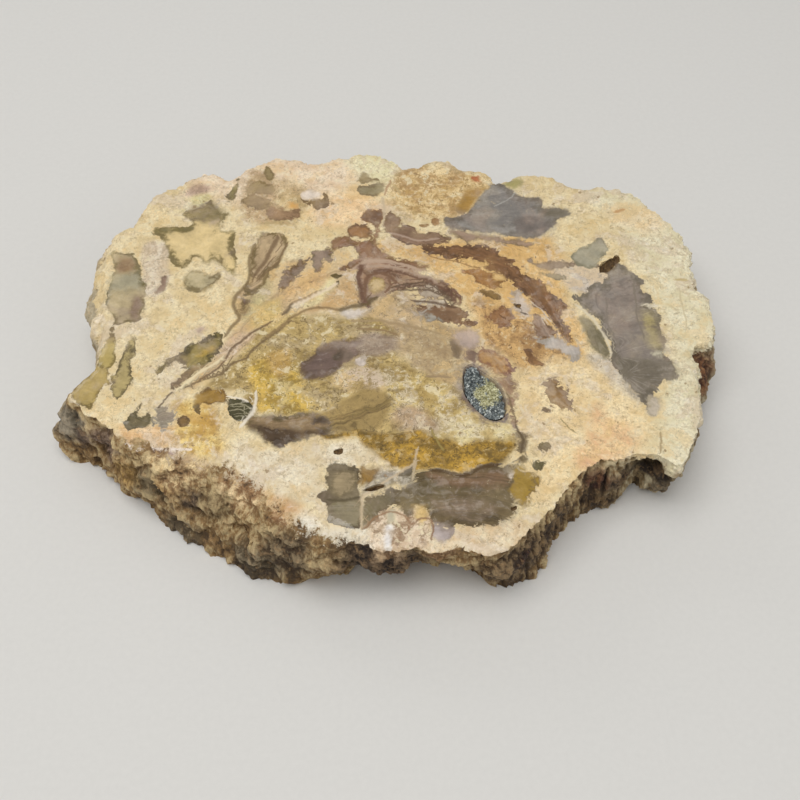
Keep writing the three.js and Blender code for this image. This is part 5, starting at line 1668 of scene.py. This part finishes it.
class AgatizedWood(Recipe):
    """Petrified wood: agate windows in a chalky, sugary ground, lapped and polished on the face.

    The windows gleam like glass beside the duller ground. Where the face is worn away the bark shows: chalky
    crests, ochre flanks, creases darkened with painted shade, dry and matt. Sizes are in mm. A sway says how
    far a pattern moves what it acts on, and a span says from where to where a pattern shows and how much.
    """

    name = "polished_agatized_wood"
    ior = 1.54  # quartz
    agate_rough = 0.16  # sharp gleams
    ground_rough = 0.4  # a soft sheen
    bark_rough = 0.88  # none
    rough_sway = 0.2
    bump_height = 0.05
    bump_strength = 0.6
    bark_bump = 5.0
    # sizes of the patterns
    flow_size = 6.0
    flow_sway = 5.0
    streak_width = 1.0  # across the grain
    streak_length = 16.0  # along it
    band_width = 3.4
    blotch = 3.2
    fleck = 2.0
    cloud = 8.0
    drift = 13.0
    granule = 0.75  # sugary grain of the ground
    jag = 2.4
    fibre_width = 0.9
    fibre_length = 6.0  # upright
    # veins and growth lines
    line_sway = 0.9
    line_soft = 0.12
    line_span = Span(-0.45, 0.6, 0.0, 0.85)
    # the chalky ground
    band_share = 0.6
    cloud_share = 0.5
    tone_span = Span(0.4, 0.59)
    plain_span = Span(0.35, 0.75, 1.0, 0.25)  # flecked ground shows less veil and honey
    chalky_span = Span(0.28, 0.45)  # and so does dark ground
    torn_sway = 0.5
    veil = "#E9DED2"  # a film of white silica
    veil_span = Span(0.54, 0.62, 0.0, 0.55)
    honey = "#E3BE7C"  # iron stained ground
    honey_span = Span(0.37, 0.46, 0.5, 0.0)
    fleck_sway = 0.9
    fleck_span = Span(0.47, 0.62)
    mottled_span = Span(0.3, 0.85, 0.25, 1.0)
    crumb_sway = 1.0
    cream = "#E4D5AE"
    cream_span = Span(0.57, 0.66, 0.0, 0.7)
    dark_shade = 0.72
    dark_span = Span(0.34, 0.43, 0.7, 0.0)
    veinlet_shade = 0.62
    veinlet_span = Span(0.006, 0.03, 2.0, 0.0)
    broken_sway = 0.5
    broken_span = Span(0.48, 0.6)
    growth = "#9C8266"  # what a growth line lets through
    growth_span = Span(0.0, 0.03, 0.35, 0.0)
    speck = "#8C7048"
    speck_gap = 2.7
    speck_size = 0.4
    speck_chance = (0.6, 1.0, -0.05)
    speck_drift = 0.6
    speck_sway = 0.9
    speck_span = Span(-0.02, 0.05, 0.0, 0.75)
    sugar_span = Span(0.4, 0.6, 0.35, 1.15)
    sugar_tone = 0.99
    # the agate patches
    ragged_sway = (6.0, 1.2)
    grain_sway = 3.5
    edge_sway = 0.5
    blur_span = Span(0.35, 0.65, 0.6, 3.2)
    edge_span = Span(-1.0, 1.0)
    bare = 0.55  # how far chalk breaks through a grainy patch
    bare_span = Span(0.6, 0.68)
    thin_span = Span(0.45, 0.65, 1.0, 0.88)
    rim_sways = (3.0, 2.4)
    rim_span = Span(0.1, 1.1, 1.0, 0.0)
    shade_sway = (1.2, 0.25)
    shade_sways = (0.6, 0.7, 0.3)
    bloom = "#9B8676"  # mauve cast in places, from iron and manganese
    bloom_span = Span(0.5, 0.66, 0.0, 0.4)
    wispy_span = Span(0.1, 0.6, 0.2, 1.0)
    wisp_sway = 1.1
    wisp_span = Span(0.48, 0.7, 0.0, 0.14)
    # the bark
    worn_sways = (1.8, 0.8)
    worn_span = Span(0.42, 0.6)
    crease_sways = (1.0, 0.7, 0.9, 1.3)
    # painted shade: from the pale tone on crests to the deep tone as the crease deepens
    flank_span = Span(0.0, 0.64)
    crumb = "#B79468"  # iron stained crumbs
    crumb_span = Span(0.52, 0.62, 0.0, 0.35)
    # painted shade at the bottom of the creases
    crease = "#3E2E1F"
    crease_span = Span(0.6, 1.05, 0.0, 0.8)
    bark_span = Span(0.3, 0.7, 0.74, 1.14)

    def build(self) -> bpy.types.Material:
        """Builds the material."""
        self.seen = self.patterns()
        seen = self.seen
        colour = self.ground()
        shares = []
        for layer in Layer:
            colour, share = self.patches(layer.value, colour)
            shares.append(share)
        polish = shares[0]
        offset = self.swung(self.attribute("line_offset"), (seen.granule, self.line_sway))
        half_width = self.attribute("line_width")
        line = self.maths("SUBTRACT", half_width, self.maths("ABSOLUTE", offset))
        softness = self.maths("ADD", self.maths("ABSOLUTE", half_width), self.line_soft)
        shown = self.ranged(self.maths("DIVIDE", line, softness), self.line_span)
        colour = self.mixed(shown, colour, self.tone("line_colour"))

        swings = zip((seen.blotch, seen.granule), self.worn_sways)
        worn = self.ranged(self.swung(self.attribute("wear"), *swings), self.worn_span)
        colour = self.mixed(worn, colour, self.bark())
        rough = self.between(polish, self.ground_rough, self.agate_rough)
        rough = self.swung(rough, (seen.granule, self.rough_sway))
        rough = self.between(worn, rough, self.bark_rough)
        grain = self.maths("ADD", seen.granule, seen.blotch)
        height = self.times(grain, self.maths("SUBTRACT", 1.0, polish))
        crust = self.weighed(self.fibre(), self.bark_bump, seen.granule, self.bark_bump)
        height = self.between(worn, height, crust)
        inputs = {"Height": height, "Distance": self.bump_height * MM, "Strength": self.bump_strength}
        bump = put(self.tree, "ShaderNodeBump", inputs)
        return self.finish(self.ior, Base_Color=colour, Roughness=rough, Normal=bump.outputs[0])

    def patterns(self) -> Patterns:
        """The patterns that all its parts share."""
        parts = put(self.tree, "ShaderNodeSeparateXYZ", {0: self.mm}).outputs
        bend = self.noise(self.flow_size, 2.0)
        across = self.swung(self.attribute("flow"), (bend, self.flow_sway))
        across = self.maths("DIVIDE", across, self.streak_width)
        along = [self.maths("DIVIDE", part, self.streak_length) for part in parts[:2]]
        place = put(self.tree, "ShaderNodeCombineXYZ", {0: across, 1: along[0], 2: along[1]}).outputs[0]
        return Patterns(
            streak=self.noise(1.0, 3.0, 0.6, place),
            band=self.noise(self.band_width, 2.0, 0.5, place),
            blotch=self.noise(self.blotch, 6.0, 0.72, twist=0.3),
            fleck=self.noise(self.fleck, 5.0, 0.7, twist=0.4),
            cloud=self.noise(self.cloud, 3.0),
            drift=self.noise(self.drift, 4.0, 0.6, twist=0.6),
            granule=self.noise(self.granule, 3.0, 0.7),
            jag=self.noise(self.jag, 6.0, 0.66, twist=0.6),
        )

    def ground(self) -> Socket:
        """The colour of the chalky ground between the patches."""
        seen = self.seen
        streaked, flecked = self.attribute("ground_streak"), self.attribute("ground_flecked")
        deep, pale = self.tone("ground_deep"), self.tone("ground_pale")
        grain = self.weighed(seen.band, self.band_share, seen.streak, 1 - self.band_share)
        clouded = self.weighed(seen.cloud, self.cloud_share, seen.blotch, 1 - self.cloud_share)
        pattern = self.between(streaked, clouded, grain)
        colour = self.mixed(self.ranged(pattern, self.tone_span), deep, pale)

        light = put(self.tree, "ShaderNodeRGBToBW", {0: pale}).outputs[0]
        chalky = self.ranged(light, self.chalky_span)
        plain = self.times(self.ranged(flecked, self.plain_span), chalky)
        torn = self.swung(seen.drift, (seen.jag, self.torn_sway))
        veil = self.times(self.ranged(torn, self.veil_span), plain)
        colour = self.mixed(veil, colour, self.veil)
        honey = self.times(self.ranged(torn, self.honey_span), plain)
        colour = self.mixed(honey, colour, self.honey)

        clustered = self.swung(seen.fleck, (seen.drift, self.fleck_sway))
        share = self.times(self.ranged(clustered, self.fleck_span), flecked)
        colour = self.mixed(share, colour, self.tone("ground_fleck"))
        mottled = self.ranged(flecked, self.mottled_span)
        crumbs = self.swung(seen.blotch, (seen.jag, self.crumb_sway))
        cream = self.times(self.ranged(crumbs, self.cream_span), mottled)
        colour = self.mixed(self.times(cream, chalky), colour, self.cream)
        dark = self.times(self.ranged(crumbs, self.dark_span), mottled)
        colour = self.mixed(dark, colour, self.shaded(deep, self.dark_shade))

        veinlet = self.ranged(self.off_middle(seen.jag), self.veinlet_span)
        broken = self.ranged(self.swung(seen.fleck, (seen.granule, self.broken_sway)), self.broken_span)
        veinlet = self.times(self.times(veinlet, broken), flecked)
        colour = self.mixed(veinlet, colour, self.shaded(deep, self.veinlet_shade))
        growth = self.times(self.ranged(self.off_middle(seen.band), self.growth_span), streaked)
        colour = self.mixed(growth, colour, self.growth, "MULTIPLY")

        cells = put(self.tree, "ShaderNodeTexVoronoi", {"Vector": self.mm, "Scale": 1 / self.speck_gap})
        chance = put(self.tree, "ShaderNodeSeparateColor", {0: cells.outputs["Color"]}).outputs[0]
        reach = self.ranged(chance, Span(*self.speck_chance, self.speck_size / self.speck_gap))
        reach = self.swung(reach, (seen.drift, self.speck_drift))
        near = self.maths("SUBTRACT", reach, cells.outputs["Distance"])
        near = self.swung(near, (seen.granule, self.speck_sway))
        colour = self.mixed(self.ranged(near, self.speck_span), colour, self.speck)
        grainy = self.ranged(seen.cloud, self.sugar_span)
        return self.shaded(colour, self.swung(self.sugar_tone, (seen.granule, grainy)))

    def patches(self, name: str, below: Socket) -> tuple[Socket, Socket]:
        """One layer of patches over what lies below.

        Args:
            name: the layer's.
            below: the colour so far.

        Returns:
            the new colour, and the patches' share of it.
        """
        seen = self.seen
        edge = put(self.tree, "ShaderNodeSeparateXYZ", {0: self.attribute(f"{name}_edge", "Vector")})
        width, soft, ragged = edge.outputs
        grain = self.attribute(f"{name}_grain")
        torn = self.maths("MULTIPLY_ADD", ragged, *self.ragged_sway)
        swings = ((seen.jag, torn), (seen.streak, self.times(grain, self.grain_sway)))
        depth = self.swung(self.attribute(f"{name}_depth"), *swings, (seen.granule, self.edge_sway))
        soft = self.times(soft, self.ranged(seen.cloud, self.blur_span))
        share = self.ranged(self.maths("DIVIDE", depth, soft), self.edge_span)
        bare = self.times(self.ranged(seen.fleck, self.bare_span), self.times(grain, self.bare))
        share = self.times(share, self.maths("SUBTRACT", 1.0, bare))
        share = self.times(share, self.ranged(seen.cloud, self.thin_span))

        inward = self.maths("DIVIDE", depth, width)
        inward = self.swung(inward, *zip((seen.blotch, seen.cloud), self.rim_sways))
        rim = self.ranged(inward, self.rim_span)
        body = self.mixed(rim, self.tone(f"{name}_core"), self.tone(f"{name}_rim"))
        body = self.mixed(self.ranged(seen.drift, self.bloom_span), body, self.bloom)
        wisp = self.swung(seen.band, (seen.jag, self.wisp_sway))
        wisp = self.times(self.ranged(wisp, self.wisp_span), self.ranged(grain, self.wispy_span))
        body = self.mixed(wisp, body, self.veil)
        shade = self.swung(1.0, (seen.streak, self.maths("MULTIPLY_ADD", grain, *self.shade_sway)))
        shade = self.swung(shade, *zip((seen.cloud, seen.blotch, seen.granule), self.shade_sways))
        return self.mixed(share, below, self.shaded(body, shade)), share

    def fibre(self) -> Socket:
        """Upright fibres, as a pattern."""
        squeeze = (1 / self.fibre_width, 1 / self.fibre_width, 1 / self.fibre_length)
        place = put(self.tree, "ShaderNodeVectorMath", {0: self.mm, 1: squeeze}, operation="MULTIPLY")
        return self.noise(1.0, 4.0, 0.65, place.outputs[0], twist=0.8)

    def bark(self) -> Socket:
        """The bark's colour, from its tones, with painted shade in its creases."""
        seen = self.seen
        patterns = (seen.granule, seen.blotch, seen.cloud, self.fibre())
        creased = self.swung(self.attribute("crease"), *zip(patterns, self.crease_sways))
        # painted shade: the deep tone and then near black down in the creases
        flank = self.ranged(creased, self.flank_span)
        colour = self.mixed(flank, self.tone("bark_pale"), self.tone("bark_deep"))
        colour = self.mixed(self.ranged(seen.fleck, self.crumb_span), colour, self.crumb)
        colour = self.mixed(self.ranged(creased, self.crease_span), colour, self.crease)
        return self.shaded(colour, self.ranged(seen.granule, self.bark_span))


class SawnAgatizedWood(AgatizedWood):
    """The same stone as the saw left it: the same colours, matt all over."""

    name = "sawn_agatized_wood"
    agate_rough = 0.62
    ground_rough = 0.8


class SmokyQuartzDruse(Recipe):
    """Tiny quartz crystals grown in a hollow: glassy facets, smoky blue grey, a few white as painted glints,
    greenish gold to one side.
    """

    name = "smoky_quartz_druse"
    ior = 1.54
    smoky = "#4F5657"
    clear = "#8E9594"
    white = "#D6DAD4"
    stops = (0.0, 0.72, 0.93)  # where those three stand among the crystals; the white ones are painted glints
    gold = "#B3AD7C"
    cream = "#F2EEC4"
    gold_size = 1.6  # mm
    gold_sway = 3.0
    gold_span = Span(0.35, 0.75, 0.0, 0.85)
    rough = 0.18  # each facet gleams
    rough_sway = 0.3
    rough_size = 0.4  # mm

    def build(self) -> bpy.types.Material:
        """Builds the material."""
        tint = self.attribute("tint")
        stops = list(zip(self.stops, (self.smoky, self.clear, self.white)))
        body = put(self.tree, "ShaderNodeValToRGB", {0: tint}, stops).outputs[0]
        uneven = (self.noise(self.gold_size, 3.0), self.gold_sway)
        golden = self.ranged(self.swung(self.attribute("golden"), uneven), self.gold_span)
        colour = self.mixed(golden, body, self.mixed(tint, self.gold, self.cream))
        rough = self.swung(self.rough, (self.noise(self.rough_size), self.rough_sway))
        return self.finish(self.ior, Base_Color=colour, Roughness=rough)


class PaperFloor(Recipe):
    """A pale paper ground: matt, with the faintest fibre."""

    name = "pale_paper_floor"
    fibre = 1.5  # mm
    shade = "#D6D4CF"
    pale = "#DEDCD7"
    rough_span = Span(0.3, 0.7, 0.85, 0.95)

    def build(self) -> bpy.types.Material:
        """Builds the material."""
        fibre = self.noise(self.fibre, 4.0)
        colour = self.mixed(fibre, self.shade, self.pale)
        return self.finish(Base_Color=colour, Roughness=self.ranged(fibre, self.rough_span))


# ---- Stage ----


@dataclass(frozen=True)
class Softbox:
    """A square light that faces the slice."""

    name: str
    place: tuple[float, float, float]  # m
    size: float  # m
    power: float  # W

    def build(self) -> None:
        """Builds the light."""
        data = bpy.data.lights.new(self.name, "AREA")
        data.size = self.size
        data.energy = self.power
        lamp = add_object(self.name, data)
        lamp.location = self.place
        lamp.rotation_euler = (-Vector(self.place)).to_track_quat("-Z", "Y").to_euler()


@dataclass(frozen=True)
class Studio:
    """A pale floor, soft light and the camera."""

    floor_size: float = 3.0  # m
    camera_at: tuple[float, float, float] = (0.0034, -0.17925, 0.2622)  # m
    camera_tilt: float = 33.3  # degrees from straight down
    lens: float = 49.5  # mm
    sky: float = 0.3  # strength of the light from all round
    lights: tuple[Softbox, ...] = (
        Softbox("key_softbox", (-0.16, -0.14, 1.0), 0.8, 7.4),
        Softbox("fill_softbox", (0.7, -0.3, 0.5), 0.7, 0.7),
        Softbox("back_strip", (-0.6, 0.7, 0.6), 0.35, 0.7),
    )

    def build(self) -> None:
        """Builds the floor, the lights and the camera."""
        half = self.floor_size / 2
        mesh = bpy.data.meshes.new("floor")
        corners = [(-half, -half, 0), (half, -half, 0), (half, half, 0), (-half, half, 0)]
        mesh.from_pydata(corners, [], [(0, 1, 2, 3)])
        floor = add_object("floor", mesh)
        mesh.materials.append(PaperFloor().build())
        for softbox in self.lights:
            softbox.build()
        world = bpy.data.worlds.new("soft_studio")
        world.use_nodes = True
        background = world.node_tree.nodes["Background"]
        background.inputs[0].default_value = (1, 1, 1, 1)
        background.inputs[1].default_value = self.sky
        bpy.context.scene.world = world
        bpy.context.scene.view_settings.view_transform = "Standard"
        camera = add_object("camera", bpy.data.cameras.new("camera"))
        camera.location = self.camera_at
        camera.rotation_euler = (math.radians(self.camera_tilt), 0, 0)
        camera.data.lens = self.lens
        bpy.context.scene.camera = camera


def main() -> None:
    """Builds the studio, the stone and its crystals, in order."""
    Studio().build()
    stone = StoneSlice().make()
    for finish in (AgatizedWood(), SawnAgatizedWood()):
        stone.data.materials.append(finish.build())
    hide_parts("petrified_wood_slice")
    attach(stone, "root")
    log.info("%s: %d faces", stone.name, len(stone.data.polygons))
    crust = CrystalCrust().make()
    crust.data.materials.append(SmokyQuartzDruse().build())
    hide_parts("crystal_crust")
    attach(crust, "root")
    log.info("%s: %d faces", crust.name, len(crust.data.polygons))


if __name__ == "__main__":
    logging.basicConfig(level=logging.INFO, format="%(name)s: %(message)s")
    main()
